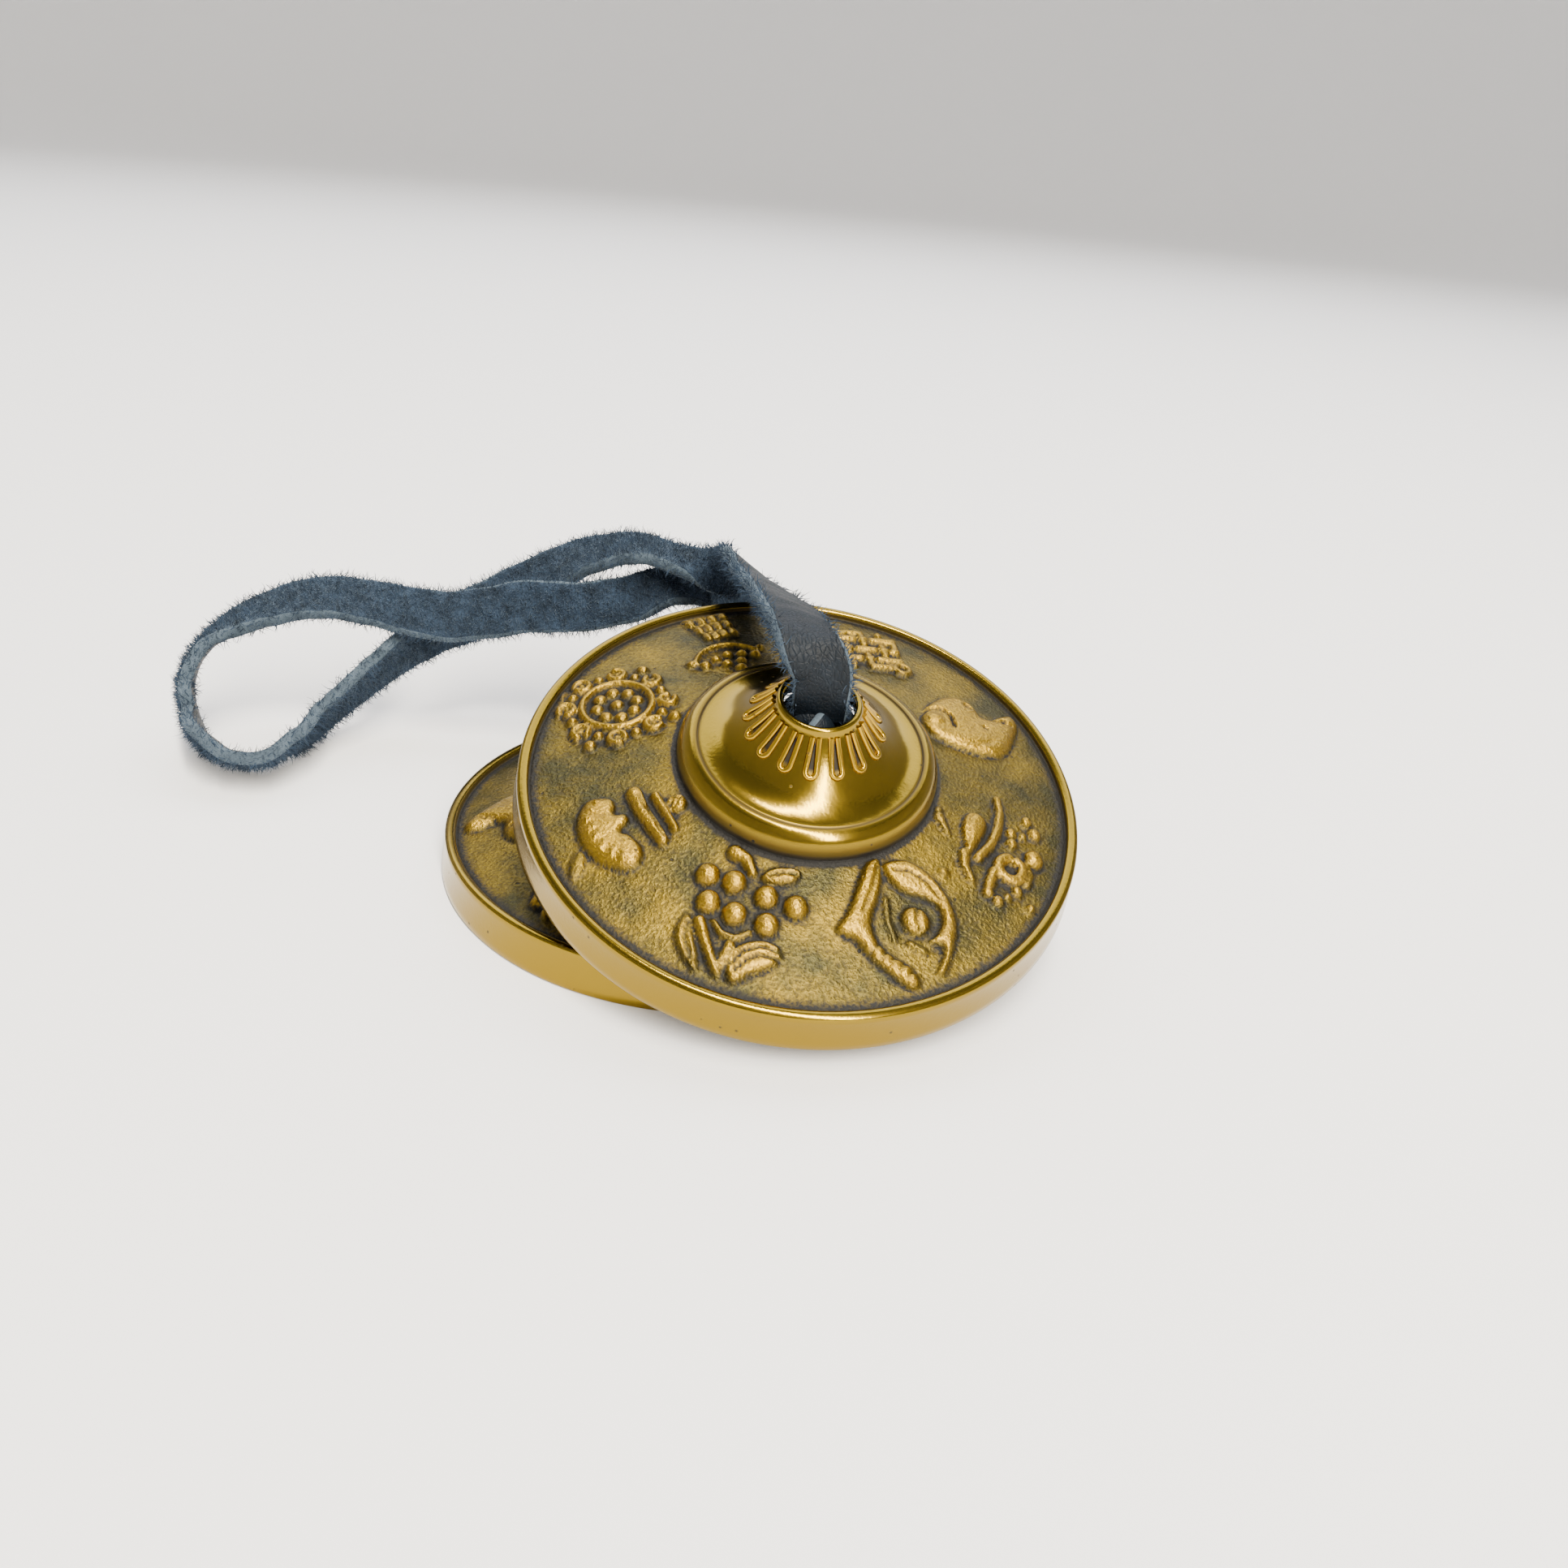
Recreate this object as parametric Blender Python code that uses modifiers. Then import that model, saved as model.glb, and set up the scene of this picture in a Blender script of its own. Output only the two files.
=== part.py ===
"""Pair of hand cymbals (tingsha) joined by one leather strap.

Two cast brass cymbals lie on top of each other. Each one is a shallow hollow disc with a
raised lip and a hollow boss in the middle. One flat leather strap joins them: each of its
ends goes down through a boss and is knotted inside. The strap is made in two runs that
meet at the far end of its loop.

Units are metres and +Z is up. The origin is on the table, under the middle of the
two cymbals' box. Lengths in profiles and routes are given in millimetres.
"""

import math

import bmesh
import bpy
import numpy as np
from mathutils import Matrix, Vector

MM = 0.001

# cymbal, in millimetres: radii from its own axis, heights from its striking edge
RIM_RADIUS = 35.0
LIP_RADIUS = 34.4
LIP_INNER_RADIUS = 33.05
LIP_HEIGHT = 5.2
EDGE_WIDTH = 3.1
FIELD_OUTER_HEIGHT = 4.3
FIELD_INNER_HEIGHT = 8.15
COLLAR_RADIUS = 15.84
COLLAR_HEIGHT = 8.5
GROOVE_RADIUS = 13.6
GROOVE_HEIGHT = 11.1
GROOVE_WIDTH = 0.3
FLARE_RADIUS = 5.2
FLARE_TOP = 17.5
FLARE_POWER = 2.0
BEAD_RADIUS = 5.0
HOLE_RADIUS = 4.15
HOLE_HEIGHT = 18.24
WALL = 1.85
CORNER = 0.3
# the boss's inside, from the hole down to the field's ceiling
BOSS_INSIDE = [(4.15, 16.6), (5.2, 16.0), (5.6, 15.1), (6.2, 14.0), (7.1, 12.9), (8.5, 11.6)]
BOSS_INSIDE += [(10.2, 10.25), (12.0, 9.0), (13.5, 7.7)]
TURN_STEPS = 64

# where the cymbals lie
LOWER_CENTRE = Vector((-5.75, 3.9, 0.0)) * MM
UPPER_CENTRE = Vector((5.85, -4.6, 13.2)) * MM
UPPER_LEAN = math.radians(-77.3)
UPPER_TILT = math.radians(18.8)

# knots inside the bosses, in millimetres
KNOT_RADIUS = 5.6
KNOT_HALF_HEIGHT = 4.2
KNOT_HEIGHT = 11.0

# leather strap, in millimetres
STRAP_THICKNESS = 1.8
STATION_SPACING = 2.0
RUN_GAP = 0.3

# The strap's route by hand: a point on its middle line, the direction to its right edge as
# seen along the run with the grain side up, and its width. Each run starts at its cymbal's
# knot and ends at the loop's far end, so both lists have the same last point.
UPPER_ROUTE = [
    ((7.0, -9.5, 28.1), (1.00, 0.00, -0.07), 6.6),
    ((7.2, -10.4, 30.8), (1.00, 0.00, -0.07), 6.6),
    ((7.0, -10.8, 34.0), (1.00, 0.02, -0.07), 6.8),
    ((5.1, -9.6, 37.0), (0.98, 0.12, -0.14), 7.2),
    ((3.8, -5.1, 37.6), (0.94, 0.28, -0.20), 7.6),
    ((2.3, 0.9, 37.1), (0.86, 0.40, -0.32), 8.0),
    ((0.2, 8.9, 35.9), (0.76, 0.50, -0.42), 8.0),
    ((-2.4, 17.9, 34.6), (0.61, 0.61, -0.51), 8.0),
    ((-5.1, 25.9, 33.6), (0.45, 0.55, -0.70), 7.6),
    ((-7.4, 31.9, 30.5), (0.15, -0.10, -0.98), 6.6),
    ((-11.1, 34.9, 30.3), (0.00, -0.93, -0.36), 7.0),
    ((-15.7, 37.1, 30.4), (0.00, -1.00, -0.04), 7.8),
    ((-21.2, 39.4, 30.4), (0.00, -0.99, -0.10), 8.0),
    ((-26.5, 41.9, 28.7), (0.05, -0.96, -0.27), 8.0),
    ((-31.8, 43.4, 26.2), (0.18, -0.88, -0.45), 8.0),
    ((-37.5, 43.9, 22.5), (0.34, -0.66, -0.67), 8.0),
    ((-43.3, 43.9, 18.7), (0.44, -0.30, -0.85), 8.0),
    ((-48.7, 42.5, 15.7), (0.40, 0.10, -0.91), 8.0),
    ((-53.8, 39.3, 13.4), (0.22, 0.48, -0.85), 8.0),
    ((-58.3, 34.4, 10.8), (0.06, 0.66, -0.75), 8.0),
    ((-62.1, 29.2, 7.9), (-0.06, 0.72, -0.69), 8.0),
    ((-65.7, 23.9, 5.0), (-0.16, 0.76, -0.63), 8.0),
    ((-67.3, 15.7, 4.6), (-0.30, 0.80, -0.52), 8.0),
    ((-70.1, 11.6, 3.7), (-0.40, 0.79, -0.46), 8.0),
    ((-73.9, 11.5, 3.6), (-0.41, 0.79, -0.46), 8.0),
    ((-77.6, 12.9, 4.6), (-0.42, 0.79, -0.45), 8.0),
    ((-81.9, 17.6, 5.3), (-0.40, 0.81, -0.43), 8.0),
    ((-84.0, 20.7, 8.4), (-0.38, 0.82, -0.42), 8.0),
]
LOWER_ROUTE = [
    ((-5.8, 3.9, 15.7), (1.00, 0.00, 0.00), 6.6),
    ((-5.8, 4.2, 18.0), (1.00, 0.00, 0.00), 6.6),
    ((-5.8, 5.5, 19.9), (1.00, 0.00, 0.00), 7.0),
    ((-5.7, 8.1, 20.5), (1.00, 0.00, -0.05), 7.6),
    ((-5.2, 11.5, 19.9), (0.99, -0.05, -0.12), 8.0),
    ((-3.8, 15.9, 18.6), (0.94, -0.15, -0.30), 8.0),
    ((-1.5, 21.1, 17.2), (0.80, -0.25, -0.55), 8.0),
    ((-0.2, 26.5, 16.4), (0.45, -0.20, -0.87), 8.0),
    ((0.2, 32.1, 16.6), (0.10, -0.05, -0.99), 8.0),
    ((-1.2, 37.1, 18.4), (-0.10, -0.10, -0.99), 8.0),
    ((-4.2, 40.1, 21.4), (-0.25, 0.00, -0.97), 8.0),
    ((-8.6, 40.9, 25.1), (-0.10, -0.35, -0.93), 7.6),
    ((-14.5, 39.1, 25.8), (0.00, -0.86, -0.50), 7.6),
    ((-22.7, 37.4, 22.9), (0.00, -0.50, -0.86), 7.2),
    ((-30.2, 36.5, 21.3), (0.00, -0.35, -0.94), 7.5),
    ((-37.5, 35.9, 20.9), (0.00, -0.42, -0.91), 8.0),
    ((-43.7, 35.7, 19.3), (0.00, -0.55, -0.83), 8.0),
    ((-49.8, 35.1, 18.3), (0.00, -0.68, -0.73), 8.0),
    ((-56.4, 35.1, 18.8), (0.05, -0.81, -0.59), 8.0),
    ((-62.7, 35.7, 19.3), (0.12, -0.88, -0.47), 8.0),
    ((-69.3, 35.9, 19.2), (0.22, -0.89, -0.40), 8.0),
    ((-75.6, 35.1, 17.5), (0.30, -0.91, -0.28), 8.0),
    ((-80.7, 32.7, 15.4), (0.39, -0.92, -0.05), 8.0),
    ((-83.8, 28.9, 13.3), (0.41, -0.89, 0.20), 8.0),
    ((-84.5, 24.9, 11.4), (0.40, -0.85, 0.34), 8.0),
    ((-84.0, 20.7, 8.4), (0.38, -0.82, 0.42), 8.0),
]


def brass_material():
    """Antique polished brass of the cymbals."""
    return make_material("brass", (0.40, 0.27, 0.09), roughness=0.35, metallic=1.0)


def leather_material():
    """Blue-black dyed leather of the strap."""
    return make_material("leather", (0.035, 0.055, 0.075), roughness=0.8, metallic=0.0)


def make_material(name, colour, roughness, metallic):
    """A Principled BSDF material with one colour."""
    material = bpy.data.materials.new(name)
    material.use_nodes = True
    shader = material.node_tree.nodes["Principled BSDF"]
    shader.inputs["Base Color"].default_value = (*colour, 1.0)
    shader.inputs["Roughness"].default_value = roughness
    shader.inputs["Metallic"].default_value = metallic
    return material


def link_object(name, mesh, material, collection):
    """A named object of a mesh, with its material, in the object's collection."""
    obj = bpy.data.objects.new(name, mesh)
    obj.data.materials.append(material)
    collection.objects.link(obj)
    return obj


def arc(centre, radii, start_deg, end_deg, segments):
    """Points on an elliptic arc in the profile plane, both ends included."""
    angles = [math.radians(a) for a in np.linspace(start_deg, end_deg, segments + 1)]
    return [(centre[0] + radii[0] * math.cos(a), centre[1] + radii[1] * math.sin(a)) for a in angles]


def flare_height(radius):
    """Height of the boss's hollow flare at a radius."""
    foot = GROOVE_HEIGHT + CORNER
    share = (radius - FLARE_RADIUS) / (GROOVE_RADIUS - GROOVE_WIDTH / 2 - FLARE_RADIUS)
    return foot + (FLARE_TOP - foot) * (1.0 - share) ** FLARE_POWER


def cymbal_profile():
    """Half section of a cymbal, from the hole's bead down its outside and back up its inside."""
    bead = [(HOLE_RADIUS, HOLE_HEIGHT - CORNER), (HOLE_RADIUS + CORNER, HOLE_HEIGHT)]
    bead += [(BEAD_RADIUS, HOLE_HEIGHT - CORNER)]
    foot_radius = GROOVE_RADIUS - GROOVE_WIDTH / 2
    flare = [(float(r), flare_height(float(r))) for r in np.linspace(FLARE_RADIUS, foot_radius, 10)]
    groove = [(GROOVE_RADIUS, GROOVE_HEIGHT)]
    collar_inner = GROOVE_RADIUS + GROOVE_WIDTH
    collar_size = (COLLAR_RADIUS - collar_inner, GROOVE_HEIGHT + CORNER - COLLAR_HEIGHT)
    collar = arc((collar_inner, COLLAR_HEIGHT), collar_size, 90, 0, 4)
    field = [(COLLAR_RADIUS, FIELD_INNER_HEIGHT), (LIP_INNER_RADIUS - 0.05, FIELD_OUTER_HEIGHT)]
    lip = [(LIP_INNER_RADIUS, LIP_HEIGHT - CORNER), (LIP_INNER_RADIUS + CORNER, LIP_HEIGHT)]
    lip += [(LIP_RADIUS - CORNER, LIP_HEIGHT), (LIP_RADIUS, LIP_HEIGHT - CORNER)]
    edge_inner = RIM_RADIUS - EDGE_WIDTH
    edge = [(RIM_RADIUS, CORNER), (RIM_RADIUS - CORNER, 0.0), (edge_inner, 0.0)]
    hollow_radius = COLLAR_RADIUS - WALL - CORNER
    ceiling = [(edge_inner - 2 * CORNER, FIELD_OUTER_HEIGHT - WALL)]
    ceiling += [(hollow_radius + CORNER, FIELD_INNER_HEIGHT - WALL)]
    return bead + flare + groove + collar + field + lip + edge + ceiling + BOSS_INSIDE[::-1]


def upper_rotation():
    """The upper cymbal's turn: its back is lifted, so that it leans over towards -Y."""
    axis = Vector((-math.sin(UPPER_LEAN), math.cos(UPPER_LEAN), 0.0))
    return Matrix.Rotation(UPPER_TILT, 4, axis)


def make_cymbal(name, centre, turn, material, collection):
    """A hollow cymbal turned from its half section."""
    points = [(radius * MM, 0.0, height * MM) for radius, height in cymbal_profile()]
    count = len(points)
    mesh = bpy.data.meshes.new(name)
    mesh.from_pydata(points, [(i, (i + 1) % count) for i in range(count)], [])
    cymbal = link_object(name, mesh, material, collection)
    screw = cymbal.modifiers.new("turn", "SCREW")
    screw.steps = TURN_STEPS
    screw.render_steps = TURN_STEPS
    screw.use_merge_vertices = True
    screw.merge_threshold = 0.01 * MM
    screw.use_smooth_shade = True
    cymbal.matrix_world = Matrix.Translation(centre) @ turn
    return cymbal


def make_knot(name, centre, turn, material, collection):
    """The strap's knot, a plain rounded lump under the boss's hole."""
    mesh = bpy.data.meshes.new(name)
    shape = bmesh.new()
    scale = Matrix.Diagonal((KNOT_RADIUS * MM, KNOT_RADIUS * MM, KNOT_HALF_HEIGHT * MM, 1.0))
    bmesh.ops.create_uvsphere(shape, u_segments=20, v_segments=12, radius=1.0, matrix=scale)
    shape.to_mesh(mesh)
    shape.free()
    mesh.shade_smooth()
    knot = link_object(name, mesh, material, collection)
    knot.matrix_world = Matrix.Translation(centre) @ turn @ Matrix.Translation((0, 0, KNOT_HEIGHT * MM))
    return knot


def spline_tangents(values, chords):
    """Tangents of a smooth curve through the values, spaced by the given chords."""
    slopes = np.diff(values, axis=0) / chords[:, None]
    inner = slopes[:-1] * chords[1:, None] + slopes[1:] * chords[:-1, None]
    inner /= (chords[:-1] + chords[1:])[:, None]
    return np.vstack([slopes[:1], inner, slopes[-1:]])


def spline_through(values, chords, places):
    """Cubic Hermite curve through the values, read at places along the chords."""
    knots = np.concatenate([[0.0], np.cumsum(chords)])
    tangents = spline_tangents(values, chords)
    index = np.clip(np.searchsorted(knots, places, side="right") - 1, 0, len(chords) - 1)
    chord = chords[index][:, None]
    t = ((places - knots[index]) / chords[index])[:, None]
    start, end = values[index], values[index + 1]
    from_start = (2 * t**3 - 3 * t**2 + 1) * start + (t**3 - 2 * t**2 + t) * chord * tangents[index]
    from_end = (3 * t**2 - 2 * t**3) * end + (t**3 - t**2) * chord * tangents[index + 1]
    return from_start + from_end


def whole_strap():
    """Centres, right-hand directions and widths of the whole strap, upper knot to lower knot.

    The middle line is one smooth curve, so the two runs meet without a kink. The last value
    is the place of the loop's far end along it.
    """
    back = [(point, tuple(-c for c in side), width) for point, side, width in LOWER_ROUTE]
    stations = UPPER_ROUTE + back[-2::-1]
    points = np.array([station[0] for station in stations], dtype=float)
    sides = np.array([station[1] for station in stations], dtype=float)
    widths = np.array([[station[2]] for station in stations], dtype=float)
    chords = np.linalg.norm(np.diff(points, axis=0), axis=1)
    return points, sides, widths, chords, chords[: len(UPPER_ROUTE) - 1].sum()


def make_strap_run(name, from_place, to_place, material, collection):
    """One run of the strap: a flat band laid along the route and given its thickness."""
    points, sides, widths, chords, _ = whole_strap()
    count = round((to_place - from_place) / STATION_SPACING)
    places = np.linspace(from_place, to_place, count + 1)
    centres = spline_through(points, chords, places)
    ahead = spline_through(points, chords, places + 0.05) - spline_through(points, chords, places - 0.05)
    ahead /= np.linalg.norm(ahead, axis=1)[:, None]
    right = spline_through(sides, chords, places)
    right -= (right * ahead).sum(axis=1)[:, None] * ahead
    right /= np.linalg.norm(right, axis=1)[:, None]
    half = spline_through(widths, chords, places) / 2
    shape = bmesh.new()
    bmesh.ops.create_grid(shape, x_segments=count, y_segments=1, size=1.0)
    for vert in shape.verts:
        station = round((vert.co.x + 1.0) / 2.0 * count)
        edge = math.copysign(1.0, vert.co.y)
        vert.co = Vector((centres[station] - edge * half[station] * right[station]) * MM)
    mesh = bpy.data.meshes.new(name)
    shape.to_mesh(mesh)
    shape.free()
    run = link_object(name, mesh, material, collection)
    skin = run.modifiers.new("thickness", "SOLIDIFY")
    skin.thickness = STRAP_THICKNESS * MM
    skin.offset = 0.0
    skin.use_even_offset = False
    return run


def main():
    """Clears the scene and builds the cymbals, the knots and the strap's two runs."""
    for obj in list(bpy.data.objects):
        bpy.data.objects.remove(obj, do_unlink=True)
    collection = bpy.data.collections.new("hand_cymbals")
    bpy.context.scene.collection.children.link(collection)
    brass = brass_material()
    leather = leather_material()
    level = Matrix.Identity(4)
    make_cymbal("lower_cymbal", LOWER_CENTRE, level, brass, collection)
    make_cymbal("upper_cymbal", UPPER_CENTRE, upper_rotation(), brass, collection)
    make_knot("lower_knot", LOWER_CENTRE, level, leather, collection)
    make_knot("upper_knot", UPPER_CENTRE, upper_rotation(), leather, collection)
    chords, loop_end = whole_strap()[3:]
    make_strap_run("strap_upper_run", 0.0, loop_end - RUN_GAP / 2, leather, collection)
    make_strap_run("strap_lower_run", loop_end + RUN_GAP / 2, chords.sum(), leather, collection)


if __name__ == "__main__":
    main()
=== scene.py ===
"""Looks of the pair of hand cymbals (tingsha) on their leather strap.

Two cast brass cymbals carry eight raised signs each and a ring of petals round the boss.
One flat strap of dyed split leather joins them. It is grain leather on one side and suede
on the other, and each of its ends is knotted inside a boss.

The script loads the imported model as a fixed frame, builds a detailed piece for each of its
nodes and dresses them. Lengths are metres unless a name or a docstring says millimetres.
"""

from __future__ import annotations

import logging
import math
from dataclasses import dataclass
from enum import Enum
from typing import Any, Sequence

import bmesh
import bpy
import numpy as np
from mathutils import Matrix, Vector

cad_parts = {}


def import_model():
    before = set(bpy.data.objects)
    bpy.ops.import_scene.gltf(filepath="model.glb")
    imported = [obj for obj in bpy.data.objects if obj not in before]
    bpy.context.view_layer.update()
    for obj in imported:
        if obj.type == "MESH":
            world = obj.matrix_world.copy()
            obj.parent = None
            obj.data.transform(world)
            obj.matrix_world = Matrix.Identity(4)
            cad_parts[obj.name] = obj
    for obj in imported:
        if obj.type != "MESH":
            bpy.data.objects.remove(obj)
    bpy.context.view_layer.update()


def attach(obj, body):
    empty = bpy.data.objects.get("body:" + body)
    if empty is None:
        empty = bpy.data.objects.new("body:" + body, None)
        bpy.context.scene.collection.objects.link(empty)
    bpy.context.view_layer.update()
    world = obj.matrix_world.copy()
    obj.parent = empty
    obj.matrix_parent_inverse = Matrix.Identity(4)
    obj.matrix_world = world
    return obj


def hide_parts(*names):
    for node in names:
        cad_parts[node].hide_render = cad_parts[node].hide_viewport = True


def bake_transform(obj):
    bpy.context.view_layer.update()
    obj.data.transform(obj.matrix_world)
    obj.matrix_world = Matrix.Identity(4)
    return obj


LOG = logging.getLogger("hand_cymbals")
MM = 0.001
# fibres that would dip below this height lie down on the table
TABLE_CLEARANCE = 0.0001

Point2 = tuple[float, float]
Point3 = tuple[float, float, float]
Station = tuple[Point3, Point3, float]


# ---------------------------------------------------------------------------------------
# Small helpers
# ---------------------------------------------------------------------------------------


def linear(colour: str) -> tuple[float, float, float, float]:
    """Turns an sRGB hex colour into linear light.

    Args:
        colour: Six hex digits after a hash.

    Returns:
        Red, green, blue and an alpha of 1.
    """
    channels = [int(colour[i : i + 2], 16) / 255.0 for i in (1, 3, 5)]
    light = [c / 12.92 if c <= 0.04045 else ((c + 0.055) / 1.055) ** 2.4 for c in channels]
    return (light[0], light[1], light[2], 1.0)


def add_node(tree: bpy.types.NodeTree, kind: str, inputs: dict[Any, Any] | None = None,
    **settings: Any) -> Any:
    """Adds a node with its settings, and sets or links its inputs.

    Args:
        tree: The shader or geometry tree that gets the node.
        kind: The node's type name.
        inputs: Each input's name or number, with a value or the socket to link to it.
        **settings: The node's own properties.

    Returns:
        The new node.
    """
    node = tree.nodes.new(kind)
    for name, value in settings.items():
        setattr(node, name, value)
    for socket, value in (inputs or {}).items():
        if isinstance(value, bpy.types.NodeSocket):
            tree.links.new(value, node.inputs[socket])
        else:
            node.inputs[socket].default_value = value
    return node


def smooth_step(low: float, high: float, values: np.ndarray) -> np.ndarray:
    """Rises smoothly from 0 at low to 1 at high."""
    share = np.clip((values - low) / (high - low), 0.0, 1.0)
    return share * share * (3.0 - 2.0 * share)


def unit_rows(rows: np.ndarray) -> np.ndarray:
    """Scales each row to a length of 1."""
    return rows / np.maximum(np.linalg.norm(rows, axis=1), 1e-12)[:, None]


def link_mesh(name: str, mesh: bpy.types.Mesh) -> bpy.types.Object:
    """Puts a mesh in the scene as an object of that name."""
    obj = bpy.data.objects.new(name, mesh)
    bpy.context.scene.collection.objects.link(obj)
    return obj


def set_attribute(mesh: bpy.types.Mesh, name: str, values: np.ndarray) -> None:
    """Stores one number per vertex on a mesh, for its material to read."""
    attribute = mesh.attributes.get(name) or mesh.attributes.new(name, "FLOAT", "POINT")
    attribute.data.foreach_set("value", np.ascontiguousarray(values, dtype=np.float32))


def vertex_array(mesh: bpy.types.Mesh) -> np.ndarray:
    """A mesh's vertices as an array of one row each."""
    flat = np.empty(len(mesh.vertices) * 3, dtype=np.float32)
    mesh.vertices.foreach_get("co", flat)
    return flat.reshape(-1, 3).astype(float)


def read_attribute(mesh: bpy.types.Mesh, name: str) -> np.ndarray:
    """One number per vertex, as an earlier step stored it."""
    values = np.empty(len(mesh.vertices), dtype=np.float32)
    mesh.attributes[name].data.foreach_get("value", values)
    return values


def point_outwards(mesh: bpy.types.Mesh) -> None:
    """Turns a closed mesh's faces outwards."""
    shape = bmesh.new()
    shape.from_mesh(mesh)
    bmesh.ops.recalc_face_normals(shape, faces=shape.faces)
    if shape.calc_volume(signed=True) < 0:
        bmesh.ops.reverse_faces(shape, faces=shape.faces)
    shape.to_mesh(mesh)
    shape.free()


# ---------------------------------------------------------------------------------------
# Geometry Nodes: one tree for each thing that repeats or follows a rule
# ---------------------------------------------------------------------------------------


def new_tree(name: str, sockets: Sequence[tuple[str, str, Any]]) -> tuple[bpy.types.NodeTree, Any, Any]:
    """A Geometry Nodes tree with a mesh in, a mesh out, named sizes and a material.

    Args:
        name: The tree's name.
        sockets: Each size's name, socket type and first value.

    Returns:
        The tree, its input node and its output node.
    """
    tree = bpy.data.node_groups.new(name, "GeometryNodeTree")
    tree.interface.new_socket("Geometry", in_out="INPUT", socket_type="NodeSocketGeometry")
    tree.interface.new_socket("Geometry", in_out="OUTPUT", socket_type="NodeSocketGeometry")
    for label, kind, value in sockets:
        socket = tree.interface.new_socket(label, in_out="INPUT", socket_type=kind)
        if value is not None:
            socket.default_value = value
    return tree, tree.nodes.new("NodeGroupInput"), tree.nodes.new("NodeGroupOutput")


def finish_tree(tree: bpy.types.NodeTree, geometry: Any, material: Any, output: Any) -> None:
    """Ends a tree with real geometry and its material.

    Args:
        tree: The tree to end.
        geometry: The socket with the geometry made so far.
        material: The socket with the material.
        output: The tree's output node.
    """
    real = add_node(tree, "GeometryNodeRealizeInstances", {"Geometry": geometry})
    dressed = add_node(
        tree, "GeometryNodeSetMaterial", {"Geometry": real.outputs["Geometry"], "Material": material}
    )
    tree.links.new(dressed.outputs["Geometry"], output.inputs["Geometry"])


def grow(name: str, source: bpy.types.Mesh, tree: bpy.types.NodeTree,
    values: dict[str, Any]) -> bpy.types.Mesh:
    """Runs a tree on a mesh and returns the result as a plain mesh.

    Args:
        name: The new mesh's name.
        source: The mesh that goes in.
        tree: The tree to run.
        values: Each named input's value.

    Returns:
        The finished mesh, which depends on no modifier.
    """
    host = link_mesh(f"{name}_host", source)
    modifier = host.modifiers.new(tree.name, "NODES")
    modifier.node_group = tree
    for item in tree.interface.items_tree:
        if item.item_type == "SOCKET" and item.in_out == "INPUT" and item.name in values:
            modifier[item.identifier] = values[item.name]
    host.update_tag()
    bpy.context.view_layer.update()
    evaluated = host.evaluated_get(bpy.context.evaluated_depsgraph_get())
    mesh = bpy.data.meshes.new_from_object(evaluated)
    mesh.name = name
    host.modifiers.clear()
    bpy.data.objects.remove(host, do_unlink=True)
    return mesh


def turning_tree() -> bpy.types.NodeTree:
    """Turns a closed half section round the Z axis, and numbers its rings and steps."""
    tree, given, output = new_tree(
        "turned_casting",
        [
            ("Rings", "NodeSocketInt", 10),
            ("Steps", "NodeSocketInt", 64),
            ("Material", "NodeSocketMaterial", None),
        ],
    )
    rings, steps = given.outputs["Rings"], given.outputs["Steps"]
    more_rings = add_node(tree, "ShaderNodeMath", {0: rings, 1: 1.0}, operation="ADD").outputs[0]
    more_steps = add_node(tree, "ShaderNodeMath", {0: steps, 1: 1.0}, operation="ADD").outputs[0]
    grid = add_node(tree, "GeometryNodeMeshGrid", {"Vertices X": more_rings, "Vertices Y": more_steps})
    index = add_node(tree, "GeometryNodeInputIndex").outputs[0]
    row = add_node(tree, "ShaderNodeMath", {0: index, 1: more_steps}, operation="DIVIDE").outputs[0]
    row = add_node(tree, "ShaderNodeMath", {0: row}, operation="FLOOR").outputs[0]
    ring = add_node(tree, "ShaderNodeMath", {0: row, 1: rings}, operation="MODULO").outputs[0]
    column = add_node(tree, "ShaderNodeMath", {0: index, 1: more_steps}, operation="MODULO").outputs[0]
    step = add_node(tree, "ShaderNodeMath", {0: column, 1: steps}, operation="MODULO").outputs[0]
    place = add_node(tree, "GeometryNodeInputPosition").outputs[0]
    section = add_node(
        tree,
        "GeometryNodeSampleIndex",
        {"Geometry": given.outputs["Geometry"], "Value": place, "Index": ring},
        data_type="FLOAT_VECTOR",
    )
    share = add_node(tree, "ShaderNodeMath", {0: step, 1: steps}, operation="DIVIDE").outputs[0]
    angle = add_node(tree, "ShaderNodeMath", {0: share, 1: math.tau}, operation="MULTIPLY").outputs[0]
    turned = add_node(
        tree,
        "ShaderNodeVectorRotate",
        {"Vector": section.outputs["Value"], "Angle": angle},
        rotation_type="Z_AXIS",
    )
    geometry = add_node(
        tree,
        "GeometryNodeSetPosition",
        {"Geometry": grid.outputs["Mesh"], "Position": turned.outputs["Vector"]},
    ).outputs["Geometry"]
    for name, value in (("ring", ring), ("step", step)):
        geometry = add_node(
            tree, "GeometryNodeStoreNamedAttribute", {"Geometry": geometry, "Name": name, "Value": value}
        ).outputs["Geometry"]
    merged = add_node(tree, "GeometryNodeMergeByDistance", {"Geometry": geometry, "Distance": 1e-6})
    finish_tree(tree, merged.outputs["Geometry"], given.outputs["Material"], output)
    return tree


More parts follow.
